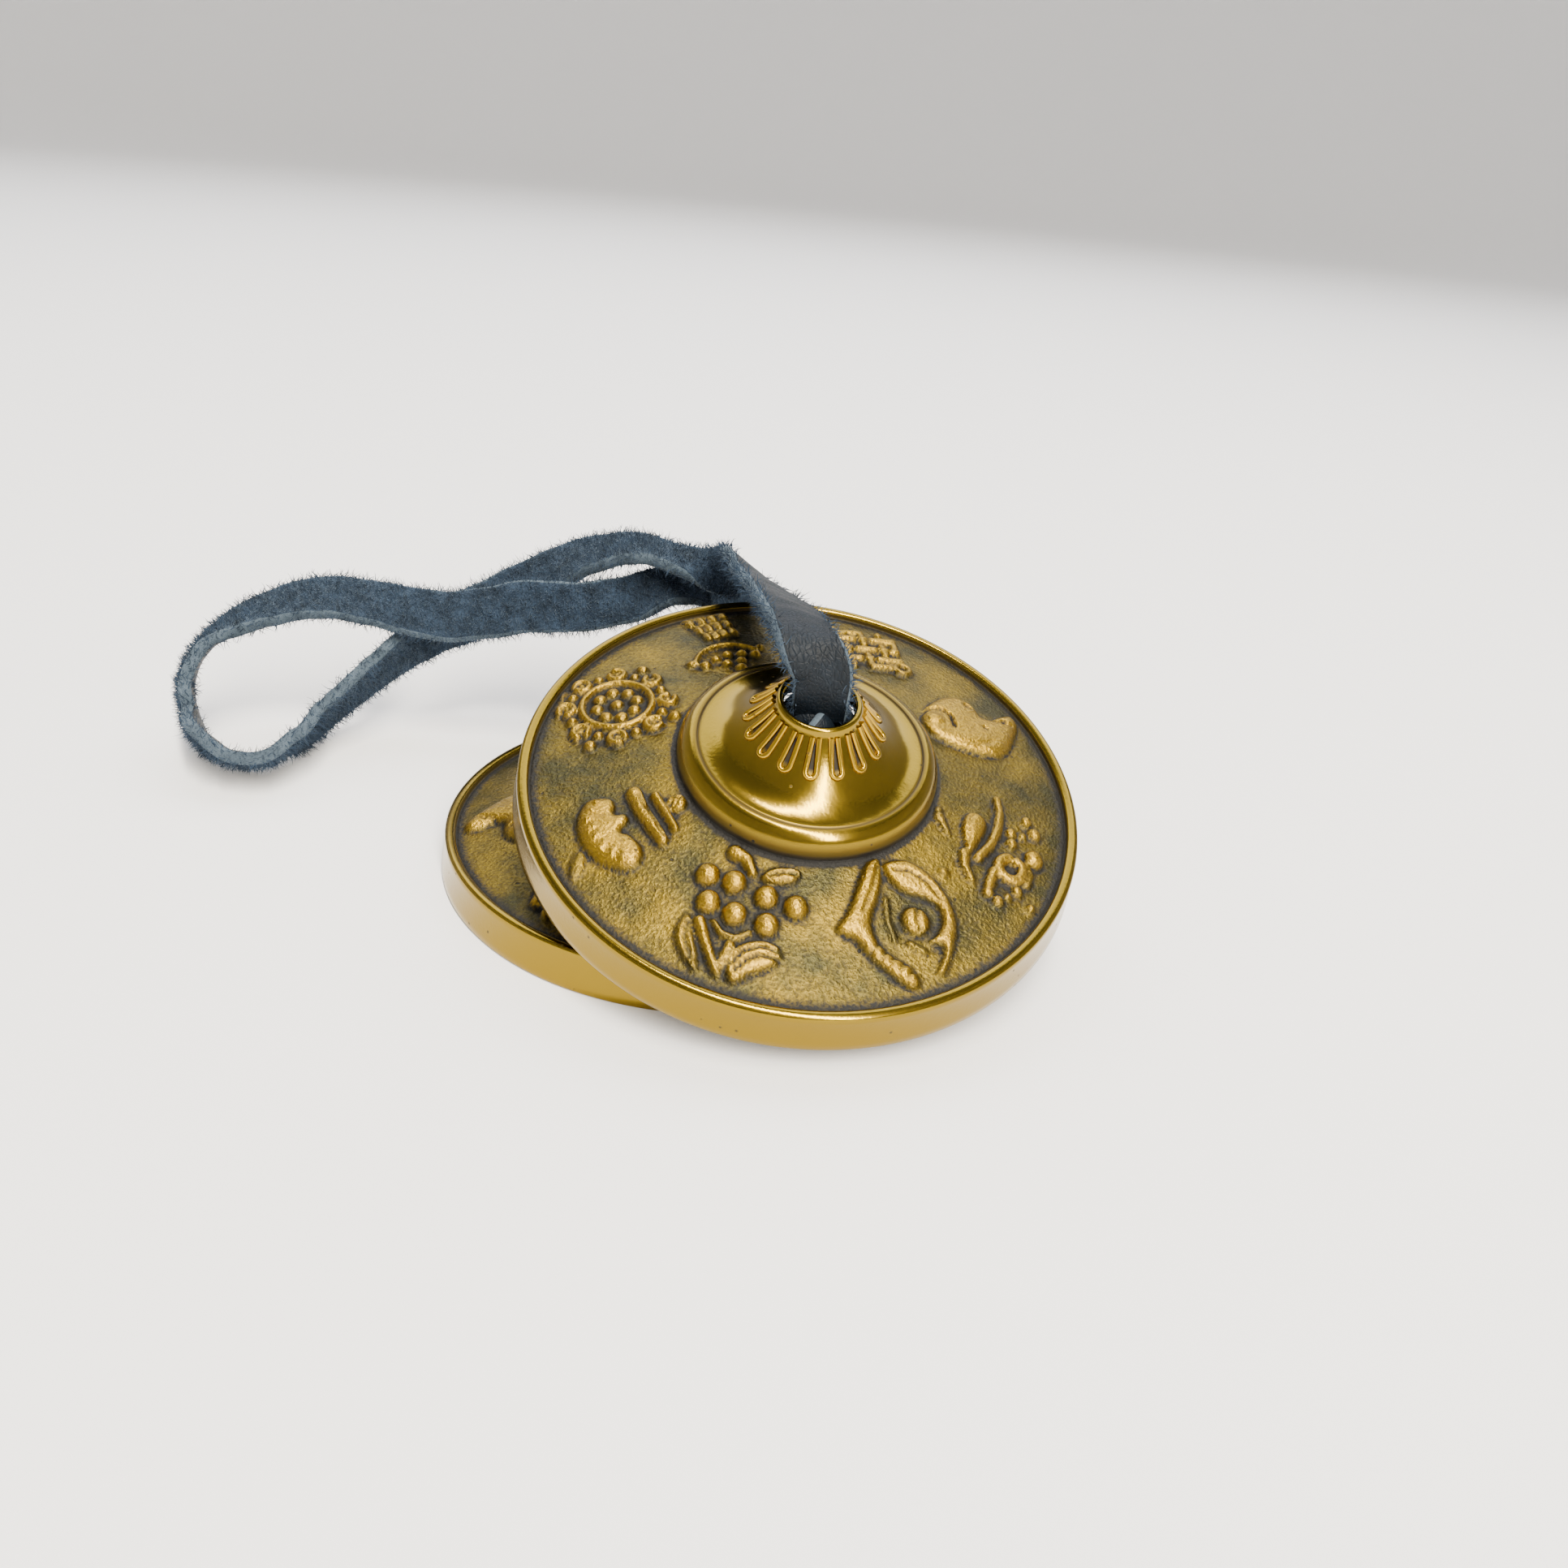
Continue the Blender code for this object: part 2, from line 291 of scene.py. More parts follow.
def petal_tree() -> bpy.types.NodeTree:
    """Copies one petal's ridge round the axis as many times as there are petals."""
    tree, given, output = new_tree(
        "petal_ring",
        [
            ("Count", "NodeSocketInt", 16),
            ("Ridge", "NodeSocketFloat", 0.0003),
            ("Material", "NodeSocketMaterial", None),
        ],
    )
    path = add_node(tree, "GeometryNodeMeshToCurve", {"Mesh": given.outputs["Geometry"]})
    bead = add_node(tree, "GeometryNodeCurvePrimitiveCircle",
        {"Resolution": 8, "Radius": given.outputs["Ridge"]})
    ridge = add_node(
        tree,
        "GeometryNodeCurveToMesh",
        {"Curve": path.outputs["Curve"], "Profile Curve": bead.outputs["Curve"], "Fill Caps": True},
    )
    spots = add_node(tree, "GeometryNodePoints", {"Count": given.outputs["Count"]})
    index = add_node(tree, "GeometryNodeInputIndex").outputs[0]
    share = add_node(tree, "ShaderNodeMath", {0: index, 1: given.outputs["Count"]},
        operation="DIVIDE").outputs[0]
    angle = add_node(tree, "ShaderNodeMath", {0: share, 1: math.tau}, operation="MULTIPLY").outputs[0]
    spin = add_node(tree, "ShaderNodeCombineXYZ", {"Z": angle})
    petals = add_node(
        tree,
        "GeometryNodeInstanceOnPoints",
        {
            "Points": spots.outputs[0],
            "Instance": ridge.outputs["Mesh"],
            "Rotation": spin.outputs["Vector"],
        },
    )
    finish_tree(tree, petals.outputs["Instances"], given.outputs["Material"], output)
    return tree


def nap_tree() -> bpy.types.NodeTree:
    """Grows short bent fibres on the faces where the nap attribute is above nothing."""
    tree, given, output = new_tree(
        "suede_nap",
        [
            ("Density", "NodeSocketFloat", 1e6),
            ("Length", "NodeSocketFloat", 0.0005),
            ("Thickness", "NodeSocketFloat", 0.00003),
            ("Seed", "NodeSocketInt", 7),
            ("Material", "NodeSocketMaterial", None),
        ],
    )
    nap = add_node(tree, "GeometryNodeInputNamedAttribute", {"Name": "nap"}, data_type="FLOAT")
    density = add_node(
        tree,
        "ShaderNodeMath",
        {0: nap.outputs["Attribute"], 1: given.outputs["Density"]},
        operation="MULTIPLY",
    )
    spread = add_node(
        tree,
        "GeometryNodeDistributePointsOnFaces",
        {
            "Mesh": given.outputs["Geometry"],
            "Density": density.outputs[0],
            "Seed": given.outputs["Seed"],
        },
    )
    fibre = add_node(
        tree,
        "GeometryNodeMeshCone",
        {
            "Vertices": 3,
            "Side Segments": 3,
            "Radius Top": 0.000004,
            "Radius Bottom": given.outputs["Thickness"],
            "Depth": given.outputs["Length"],
        },
        fill_type="NONE",
    )
    place = add_node(tree, "GeometryNodeInputPosition").outputs[0]
    height = add_node(tree, "ShaderNodeSeparateXYZ", {"Vector": place}).outputs["Z"]
    rooted = add_node(
        tree,
        "GeometryNodeStoreNamedAttribute",
        {"Geometry": fibre.outputs["Mesh"], "Name": "reach", "Value": height},
    )
    leaning = add_node(
        tree,
        "FunctionNodeRandomValue",
        {0: (-0.9, -0.9, 0.0), 1: (0.9, 0.9, math.tau), "Seed": given.outputs["Seed"]},
        data_type="FLOAT_VECTOR",
    )
    lean = add_node(
        tree,
        "FunctionNodeRotateEuler",
        {"Rotation": spread.outputs["Rotation"], "Rotate By": leaning.outputs[0]},
        space="LOCAL",
    )
    size = add_node(
        tree, "FunctionNodeRandomValue", {2: 0.35, 3: 1.25,
            "Seed": given.outputs["Seed"]}, data_type="FLOAT"
    )
    fibres = add_node(
        tree,
        "GeometryNodeInstanceOnPoints",
        {
            "Points": spread.outputs["Points"],
            "Instance": rooted.outputs["Geometry"],
            "Rotation": lean.outputs["Rotation"],
            "Scale": size.outputs[1],
        },
    )
    real = add_node(tree, "GeometryNodeRealizeInstances", {"Geometry": fibres.outputs["Instances"]})
    reach = add_node(tree, "GeometryNodeInputNamedAttribute", {"Name": "reach"}, data_type="FLOAT")
    drift = add_node(tree, "ShaderNodeTexNoise", {"Vector": place, "Scale": 900.0, "Detail": 1.0})
    centred = add_node(
        tree,
        "ShaderNodeVectorMath",
        {0: drift.outputs["Color"], 1: (0.5, 0.5, 0.5)},
        operation="SUBTRACT",
    )
    bend = add_node(
        tree,
        "ShaderNodeVectorMath",
        {0: centred.outputs[0], "Scale": reach.outputs["Attribute"]},
        operation="SCALE",
    )
    bend = add_node(tree, "ShaderNodeVectorMath", {0: bend.outputs[0], "Scale": 1.6}, operation="SCALE")
    bent = add_node(
        tree, "GeometryNodeSetPosition", {"Geometry": real.outputs["Geometry"], "Offset": bend.outputs[0]}
    )
    finish_tree(tree, bent.outputs["Geometry"], given.outputs["Material"], output)
    return tree


# ---------------------------------------------------------------------------------------
# Finishes
# ---------------------------------------------------------------------------------------


def new_material(name: str) -> tuple[bpy.types.Material, bpy.types.NodeTree, Any]:
    """A material with a Principled shader.

    Args:
        name: The material's name.

    Returns:
        The material, its tree and its shader node.
    """
    material = bpy.data.materials.new(name)
    material.use_nodes = True
    tree = material.node_tree
    tree.nodes.clear()
    shader = add_node(tree, "ShaderNodeBsdfPrincipled")
    add_node(tree, "ShaderNodeOutputMaterial", {"Surface": shader.outputs["BSDF"]})
    return material, tree, shader


def ramp(tree: bpy.types.NodeTree, factor: Any, stops: Sequence[tuple[float, Any]]) -> Any:
    """A colour ramp node over the stops.

    Args:
        tree: The material's tree.
        factor: The socket that drives it.
        stops: Places from 0 to 1, each with a hex colour or a grey level.

    Returns:
        The ramp's colour socket.
    """
    node = add_node(tree, "ShaderNodeValToRGB", {"Fac": factor})
    elements = node.color_ramp.elements
    while len(elements) < len(stops):
        elements.new(0.5)
    for element, (place, value) in zip(elements, stops):
        element.position = place
        element.color = linear(value) if isinstance(value, str) else (value, value, value, 1.0)
    return node.outputs["Color"]


def noise(tree: bpy.types.NodeTree, vector: Any, grain_mm: float, detail: float = 3.0, **more: Any) -> Any:
    """Noise whose blotches are about grain_mm wide, on coordinates in metres."""
    inputs = {"Vector": vector, "Scale": 1.0 / (grain_mm * MM), "Detail": detail, **more}
    return add_node(tree, "ShaderNodeTexNoise", inputs).outputs["Fac"]


def mixed(tree: bpy.types.NodeTree, factor: Any, first: Any, second: Any, blend: str = "MIX") -> Any:
    """Mixes two colours by a factor and returns the colour socket."""
    node = add_node(tree, "ShaderNodeMix", data_type="RGBA", blend_type=blend)
    for socket, value in (("Factor_Float", factor), ("A_Color", first), ("B_Color", second)):
        entry = next(s for s in node.inputs if s.identifier == socket)
        if isinstance(value, bpy.types.NodeSocket):
            tree.links.new(value, entry)
        else:
            entry.default_value = value
    return next(s for s in node.outputs if s.identifier == "Result_Color")


def maths(tree: bpy.types.NodeTree, operation: str, first: Any, second: Any = 0.0) -> Any:
    """One sum on two numbers, kept from 0 to 1."""
    node = add_node(tree, "ShaderNodeMath", {0: first, 1: second}, operation=operation, use_clamp=True)
    return node.outputs[0]


@dataclass(frozen=True)
class CastBrass:
    """Sand-cast yellow brass with an antique patina, its highs buffed bright.

    The buffing takes the patina off whatever stands proud, and leaves it in the corners
    and round the signs, so the eye reads the relief by colour as much as by light.
    """

    bright: str = "#bf9728"
    warm: str = "#826b20"
    dull: str = "#433f26"
    oxide: str = "#0e0c08"
    pit_mm: float = 0.45
    skin_mm: float = 0.42
    cloud_mm: float = 7.0
    polish: float = 0.17
    haze: float = 0.36

    def build(self) -> bpy.types.Material:
        """Builds the brass; it reads the cavity, worn and polished attributes."""
        material, tree, shader = new_material("cast_brass_antique_buffed")
        place = add_node(tree, "ShaderNodeTexCoord").outputs["Object"]
        cavity = add_node(tree, "ShaderNodeAttribute", attribute_name="cavity").outputs["Fac"]
        worn = add_node(tree, "ShaderNodeAttribute", attribute_name="worn").outputs["Fac"]
        polished = add_node(tree, "ShaderNodeAttribute", attribute_name="polished").outputs["Fac"]

        clouds = noise(tree, place, self.cloud_mm, 4.0)
        skin = noise(tree, place, self.skin_mm, 4.0)
        pits = add_node(
            tree, "ShaderNodeTexVoronoi", {"Vector": place, "Scale": 1.0 / (3.2 * self.pit_mm * MM)}
        )
        pit = ramp(tree, pits.outputs["Distance"], [(0.05, 1.0), (0.16, 0.0)])
        rare = ramp(tree, pits.outputs["Color"], [(0.72, 0.0), (0.76, 1.0)])
        pit = maths(tree, "MULTIPLY", pit, rare)

        dull = mixed(tree, ramp(tree, clouds, [(0.36, 0.0), (0.72, 1.0)]), linear(self.dull),
            linear(self.warm))
        base = mixed(tree, polished, dull, linear(self.warm))
        base = mixed(tree, maths(tree, "MULTIPLY", worn, 0.65), base, linear(self.bright))
        speckle = ramp(tree, skin, [(0.34, 1.0), (0.56, 0.0)])
        grime_and_shade = maths(tree, "MULTIPLY", speckle, maths(tree, "SUBTRACT", 0.55, polished))
        # the cavity attribute adds the patina in the hollows and, in the boss's throat under the hole,
        # painted shade
        grime_and_shade = maths(tree, "ADD", maths(tree, "MULTIPLY", grime_and_shade, 0.85), cavity)
        grime_and_shade = maths(tree, "ADD", grime_and_shade, maths(tree, "MULTIPLY", pit, 0.8))
        colour = mixed(tree, grime_and_shade, base, linear(self.oxide))
        tree.links.new(colour, shader.inputs["Base Color"])

        rough = mixed(tree, polished, (self.haze,) * 3 + (1.0,), (self.polish,) * 3 + (1.0,))
        rough = mixed(tree, maths(tree, "MULTIPLY", worn, 0.7), rough, (0.24, 0.24, 0.24, 1.0))
        rough = mixed(tree, grime_and_shade, rough, (0.68, 0.68, 0.68, 1.0))
        tree.links.new(rough, shader.inputs["Roughness"])
        metal = ramp(tree, grime_and_shade, [(0.2, 1.0), (1.0, 0.35)])
        tree.links.new(metal, shader.inputs["Metallic"])

        # the skin of the casting stays on the ground and wears off where the brass was buffed
        coarse = maths(tree, "SUBTRACT", 1.0, maths(tree, "MULTIPLY", polished, 0.93))
        relief = maths(tree, "MULTIPLY", skin, coarse)
        relief = maths(tree, "SUBTRACT", relief, maths(tree, "MULTIPLY", pit, 0.9))
        bump = add_node(
            tree, "ShaderNodeBump", {"Strength": 0.85, "Distance": 0.2 * MM, "Height": relief}
        )
        tree.links.new(bump.outputs["Normal"], shader.inputs["Normal"])
        return material


class LeatherFace(Enum):
    """The three surfaces of a leather strap."""

    GRAIN = "grain"
    SUEDE = "suede"
    CUT = "cut"


@dataclass(frozen=True)
class DyedLeather:
    """Blue-black chrome-tanned split leather, one finish for each face of the strap.

    The grain face has a thin worn finish and a dull shine, the suede face a matt nap
    brushed lighter in places, and the cut edge shows the paler, undyed middle of the hide.
    """

    face: LeatherFace
    dark: str
    light: str
    roughness: float
    sheen: float
    pore_mm: float
    depth_mm: float

    def build(self) -> bpy.types.Material:
        """Builds the leather on the strap's own UV map, which is in millimetres."""
        material, tree, shader = new_material(f"split_leather_{self.face.value}")
        place = add_node(tree, "ShaderNodeUVMap", uv_map="strap").outputs["UV"]
        cloud = add_node(tree, "ShaderNodeTexNoise",
            {"Vector": place, "Scale": 0.35, "Detail": 3.0}).outputs["Fac"]
        pores = add_node(
            tree, "ShaderNodeTexNoise", {"Vector": place, "Scale": 1.0 / self.pore_mm, "Detail": 5.0}
        ).outputs["Fac"]
        tone = mixed(tree, 0.45, cloud, pores)
        colour = ramp(tree, tone, [(0.30, self.dark), (0.72, self.light)])
        tree.links.new(colour, shader.inputs["Base Color"])
        height = pores
        if self.face is LeatherFace.GRAIN:
            cells = add_node(
                tree,
                "ShaderNodeTexVoronoi",
                {"Vector": place, "Scale": 1.0 / (2.0 * self.pore_mm)},
                feature="DISTANCE_TO_EDGE",
            ).outputs["Distance"]
            creases = ramp(tree, cells, [(0.0, 0.0), (0.14, 1.0)])
            height = mixed(tree, 0.55, creases, pores)
            scuffs = ramp(tree, pores, [(0.35, self.roughness + 0.16), (0.7, self.roughness)])
            tree.links.new(scuffs, shader.inputs["Roughness"])
        else:
            shader.inputs["Roughness"].default_value = self.roughness
        shader.inputs["Specular IOR Level"].default_value = 0.22 if self.face is LeatherFace.GRAIN else 0.15
        shader.inputs["Sheen Weight"].default_value = self.sheen
        shader.inputs["Sheen Roughness"].default_value = 0.45
        shader.inputs["Sheen Tint"].default_value = linear("#a9bccb")
        bump = add_node(
            tree, "ShaderNodeBump", {"Strength": 0.8, "Distance": self.depth_mm * MM, "Height": height}
        )
        tree.links.new(bump.outputs["Normal"], shader.inputs["Normal"])
        return material


@dataclass(frozen=True)
class MattPaper:
    """White matt background paper, smooth enough to show only soft shadows."""

    tone: str = "#f4f4f5"

    def build(self) -> bpy.types.Material:
        """Builds the paper."""
        material, _, shader = new_material("matt_background_paper")
        shader.inputs["Base Color"].default_value = linear(self.tone)
        shader.inputs["Roughness"].default_value = 0.85
        shader.inputs["Specular IOR Level"].default_value = 0.2
        return material


# ---------------------------------------------------------------------------------------
# Raised signs of the casting
# ---------------------------------------------------------------------------------------


@dataclass(frozen=True)
class Ball:
    """A round boss of the relief, in millimetres on the sign's own patch of ground."""

    at: Point2
    radius: float = 0.95
    height: float = 0.85

    def rise(self, x: np.ndarray, y: np.ndarray) -> np.ndarray:
        """Height over the ground at each place."""
        far = np.hypot(x - self.at[0], y - self.at[1]) / self.radius
        return self.height * np.sqrt(np.clip(1.0 - far * far, 0.0, 1.0))


@dataclass(frozen=True)
class Bar:
    """A rounded bar along a line of points, which may taper, in millimetres."""

    path: Sequence[Point2]
    half_width: float = 0.5
    end_half_width: float | None = None
    height: float = 0.7

    def rise(self, x: np.ndarray, y: np.ndarray) -> np.ndarray:
        """Height over the ground at each place."""
        last = self.half_width if self.end_half_width is None else self.end_half_width
        count = len(self.path) - 1
        result = np.zeros_like(x)
        for number, ((x0, y0), (x1, y1)) in enumerate(zip(self.path, self.path[1:])):
            along_x, along_y = x1 - x0, y1 - y0
            share = ((x - x0) * along_x + (y - y0) * along_y) / (along_x**2 + along_y**2)
            share = np.clip(share, 0.0, 1.0)
            far = np.hypot(x - x0 - share * along_x, y - y0 - share * along_y)
            half = self.half_width + (last - self.half_width) * (number + share) / count
            part = np.sqrt(np.clip(1.0 - (far / half) ** 2, 0.0, 1.0)) ** 0.8
            result = np.maximum(result, self.height * part * (half / self.half_width) ** 0.5)
        return result


@dataclass(frozen=True)
class Hoop:
    """A rounded ring or a part of one, in millimetres and degrees."""

    at: Point2
    radius: float
    half_width: float = 0.3
    height: float = 0.6
    start: float = 0.0
    sweep: float = 360.0

    def rise(self, x: np.ndarray, y: np.ndarray) -> np.ndarray:
        """Height over the ground at each place."""
        steps = max(6, round(self.sweep / 15.0))
        turn = [math.radians(self.start + self.sweep * k / steps) for k in range(steps + 1)]
        path = [(self.at[0] + self.radius * math.cos(a),
            self.at[1] + self.radius * math.sin(a)) for a in turn]
        return Bar(path, self.half_width, None, self.height).rise(x, y)


@dataclass(frozen=True)
class Plate:
    """A raised plate with a soft edge and a slightly domed top, in millimetres."""

    outline: Sequence[Point2]
    height: float = 0.7
    edge: float = 0.55
    dome: float = 0.25

    def rise(self, x: np.ndarray, y: np.ndarray) -> np.ndarray:
        """Height over the ground at each place."""
        outline = smooth_outline(self.outline)
        far = np.full_like(x, 1e9)
        inside = np.zeros_like(x, dtype=bool)
        for (x0, y0), (x1, y1) in zip(outline, np.roll(outline, -1, axis=0)):
            along_x, along_y = x1 - x0, y1 - y0
            share = ((x - x0) * along_x + (y - y0) * along_y) / (along_x**2 + along_y**2 + 1e-12)
            share = np.clip(share, 0.0, 1.0)
            far = np.minimum(far, np.hypot(x - x0 - share * along_x, y - y0 - share * along_y))
            if y0 != y1:
                inside ^= ((y0 > y) != (y1 > y)) & (x < x0 + (y - y0) * along_x / along_y)
        depth = np.where(inside, far, 0.0)
        shoulder = np.sqrt(np.clip(1.0 - (1.0 - np.clip(depth / self.edge, 0.0, 1.0)) ** 2, 0.0, 1.0))
        return shoulder * (self.height - self.dome * np.exp(-depth / 1.2)) * inside


@dataclass(frozen=True)
class Cut:
    """A line cut into whatever stands there, in millimetres."""

    path: Sequence[Point2]
    half_width: float = 0.22
    depth: float = 0.4

    def fall(self, x: np.ndarray, y: np.ndarray) -> np.ndarray:
        """Depth of the cut at each place."""
        return Bar(self.path, self.half_width, None, self.depth).rise(x, y)


@dataclass(frozen=True)
class Sign:
    """One raised sign: its parts on a patch of ground whose y axis points to the lip."""

    name: str
    raised: Sequence[Any]
    cuts: Sequence[Cut] = ()

    def height(self, x: np.ndarray, y: np.ndarray) -> np.ndarray:
        """Height of the whole sign at each place, in millimetres."""
        result = np.zeros_like(x)
        for part in self.raised:
            result = np.maximum(result, part.rise(x, y))
        for cut in self.cuts:
            result = result - np.minimum(cut.fall(x, y), result * 0.85)
        return result


def smooth_outline(points: Sequence[Point2], steps: int = 5) -> np.ndarray:
    """A closed smooth curve through a few points.

    Args:
        points: The outline's corners in order.
        steps: Points on each stretch of the curve.

    Returns:
        The curve's points, one row each.
    """
    corners = np.array(points, dtype=float)
    before, after, second = (np.roll(corners, shift, axis=0) for shift in (1, -1, -2))
    curve = []
    for t in np.arange(steps) / steps:
        curve.append(
            0.5
            * (
                2 * corners
                + (after - before) * t
                + (2 * before - 5 * corners + 4 * after - second) * t**2
                + (3 * corners - before - 3 * after + second) * t**3
            )
        )
    return np.stack(curve, axis=1).reshape(-1, 2)


def around(centre: Point2, radius: float, count: int, first_deg: float = 0.0) -> list[Point2]:
    """Places spaced evenly on a circle."""
    turn = [math.radians(first_deg + 360.0 * k / count) for k in range(count)]
    return [(centre[0] + radius * math.cos(a), centre[1] + radius * math.sin(a)) for a in turn]


def blossom() -> Sign:
    """Lotus: seven berries over a pair of long leaves and a ribbed one."""
    berries = [(-5.2, -3.3), (-2.1, -3.4), (-4.0, -0.3), (-0.8, 0.1), (1.8, -2.9), (2.9, 0.1), (5.2, -3.0)]
    return Sign(
        "blossom",
        [Ball(at, 1.42, 1.3) for at in berries]
        + [
            Bar([(-3.3, -6.9), (-1.8, -6.5), (-0.6, -5.2)], 0.95, 0.6, 0.9),
            Plate([(0.4, -4.8), (1.0, -6.2), (2.6, -7.1), (4.4, -7.2), (4.2, -5.6), (2.2, -4.6)], 0.9),
            Plate([(-5.5, 1.5), (-6.2, 3.2), (-5.6, 5.2), (-4.0, 6.8), (-2.2, 7.7), (-3.0, 5.4),
                (-4.4, 3.2)], 0.8),
            Bar([(-4.0, 2.2), (-2.9, 3.8), (-1.6, 5.4), (-0.5, 6.8)], 0.75, 0.5, 0.95),
            Bar([(-2.6, 1.7), (-1.3, 2.7), (0.3, 2.7), (1.5, 1.6)], 0.4, None, 0.6),
            Bar([(0.0, 3.7), (-0.2, 5.1), (-0.2, 7.0)], 0.65, 0.45, 0.8),
            Plate([(0.5, 6.6), (0.2, 4.7), (1.2, 3.0), (3.2, 1.9), (5.3, 2.2), (5.4, 4.0), (3.2, 6.0),
                (1.8, 7.6)], 0.95),
        ],
        [
            Cut([(-5.2, 2.6), (-4.9, 4.4), (-3.4, 6.4)], 0.24, 0.4),
            Cut([(0.9, 5.6), (1.6, 3.9), (3.2, 2.8), (5.0, 2.7)], 0.22, 0.45),
            Cut([(1.5, 6.2), (2.3, 4.6), (3.6, 3.7), (5.2, 3.4)], 0.22, 0.45),
            Cut([(1.2, -5.4), (2.6, -6.2), (4.0, -6.6)], 0.2, 0.4),
        ],
    )


def twin_fish() -> Sign:
    """A pair of fish, crossing head down and tail out."""
    first = [(0.4, -7.2), (-1.2, -7.5), (-3.4, -5.6), (-6.0, -3.0), (-8.3, -1.4), (-7.0, 0.2), (-6.4, 2.2)]
    first += [(-5.4, 4.6), (-3.6, 7.4), (-2.2, 7.3), (-2.2, 5.4), (-3.9, 3.0), (-4.4, 0.6), (-3.6, -1.4),
        (-1.4, -3.7)]
    second = [(0.3, -6.6), (3.2, -6.4), (5.0, -4.4), (5.9, -1.8), (5.9, 1.1), (5.0, 3.4), (3.4, 5.2),
        (1.2, 7.2)]
    second += [(0.1, 6.9), (1.8, 5.4), (2.2, 4.3), (0.8, 3.4), (2.2, 2.9), (3.6, 1.8), (4.0, 0.1),
        (3.1, -1.3)]
    second += [(1.5, -2.4), (0.4, -4.0)]
    stripes = [Cut([(-5.9 + 0.6 * k, 2.4 + 1.0 * k), (-4.4 + 0.62 * k, 1.7 + 1.0 * k)], 0.16,
        0.35) for k in range(5)]
    return Sign(
        "twin_fish",
        [
            Plate(first, 1.15, 0.95, 0.4),
            Plate(second, 1.15, 0.9, 0.4),
            Ball((0.8, 0.7), 1.75, 1.1),
            Bar([(-1.2, -2.8), (-2.2, -0.4), (-2.5, 1.9)], 0.4, None, 0.45),
            Bar([(-1.1, 2.9), (0.2, 4.2)], 0.45, 0.35, 0.5),
            Ball((7.3, -3.8), 0.7, 0.6),
        ],
        [
            *stripes,
            Cut([(-0.4, -6.4), (-2.0, -4.4), (-4.4, -2.2)], 0.26, 0.35),
            Cut([(1.2, -5.4), (3.0, -4.6), (4.4, -2.6), (4.9, -0.4)], 0.24, 0.35),
            Cut([(1.5, -0.3), (0.9, 0.9), (0.7, 1.9)], 0.22, 0.4),
        ],
    )


def vase() -> Sign:
    """A vase with two long ribbons and a cluster of beads."""
    beads = [(3.9, 3.4, 0.85), (2.5, 4.7, 0.95), (0.9, 1.9, 0.8), (1.4, 3.4, 0.6), (-0.6, 2.3, 0.8)]
    beads += [(-1.5, 5.3, 1.3), (-7.1, 4.3, 0.8), (-8.4, 6.3, 0.65), (-9.6, 2.4, 0.8), (-8.4, 3.4, 0.6)]
    return Sign(
        "vase",
        [Ball((x, y), size, 0.95 * size + 0.1) for x, y, size in beads]
        + [
            Plate([(1.2, -2.8), (0.4, -3.9), (-1.6, -4.1), (-3.6, -3.4), (-5.6, -2.3), (-3.4, -1.6),
                (-0.6, -1.1), (0.8, -1.5)], 1.15, 0.9),
            Bar([(5.0, -0.8), (3.0, 0.0), (0.4, 0.2), (-2.4, -0.1), (-5.2, -1.2)], 0.62, None, 0.9),
            Bar([(-5.4, -2.8), (-7.0, -2.4), (-8.4, -1.2)], 0.8, 0.5, 0.8),
            Hoop((-4.6, 2.9), 1.5, 0.75, 1.05, 20.0, 320.0),
            Bar([(-6.0, 1.2), (-7.6, 1.0), (-9.2, 1.0)], 0.85, 0.7, 1.0),
            Bar([(-5.6, 5.2), (-4.0, 5.4), (-2.8, 4.6)], 0.5, None, 0.7),
            Bar([(-2.0, -6.9), (-3.6, -5.4)], 0.75, 0.4, 0.7),
            Ball((-1.0, -7.2), 0.6, 0.6),
        ],
        [Cut([(0.2, -3.2), (-1.8, -3.2), (-3.8, -2.7)], 0.2, 0.3),
            Cut([(-6.6, 1.6), (-8.6, 1.5)], 0.18, 0.35)],
    )


def conch() -> Sign:
    """A smooth conch shell with one curl at its tip."""
    outline = [(2.8, -5.6), (4.2, -3.6), (5.3, -0.7), (5.1, 1.6), (3.7, 2.8), (2.2, 3.1), (0.7, 3.0),
        (0.2, 4.2)]
    outline += [(0.6, 5.8), (0.5, 7.6), (-1.2, 7.9), (-3.4, 5.9), (-5.7, 3.0), (-6.4, 0.8), (-5.8, -1.2)]
    outline += [(-4.6, -3.4), (-2.9, -5.4), (-1.4, -6.7), (0.6, -6.9)]
    return Sign(
        "conch",
        [Plate(outline, 1.35, 1.3, 0.5), Ball((0.7, -4.7), 1.75, 1.65)],
        [
            Cut([(2.6, -6.0), (3.0, -4.4), (2.4, -2.9), (0.9, -2.3), (-0.9, -2.9)], 0.34, 0.8),
            Cut([(0.9, 3.3), (-0.8, 4.4), (-1.7, 6.2)], 0.22, 0.45),
            Cut([(2.7, 1.4), (2.4, 1.8)], 0.36, 0.9),
            Cut([(-0.9, 5.3), (-1.0, 5.6)], 0.26, 0.6),
            Cut([(-1.8, 1.5), (-2.0, 1.8)], 0.24, 0.5),
            Cut([(-3.4, -3.6), (-4.4, -1.2), (-4.4, 1.2)], 0.18, 0.2),
        ],
    )


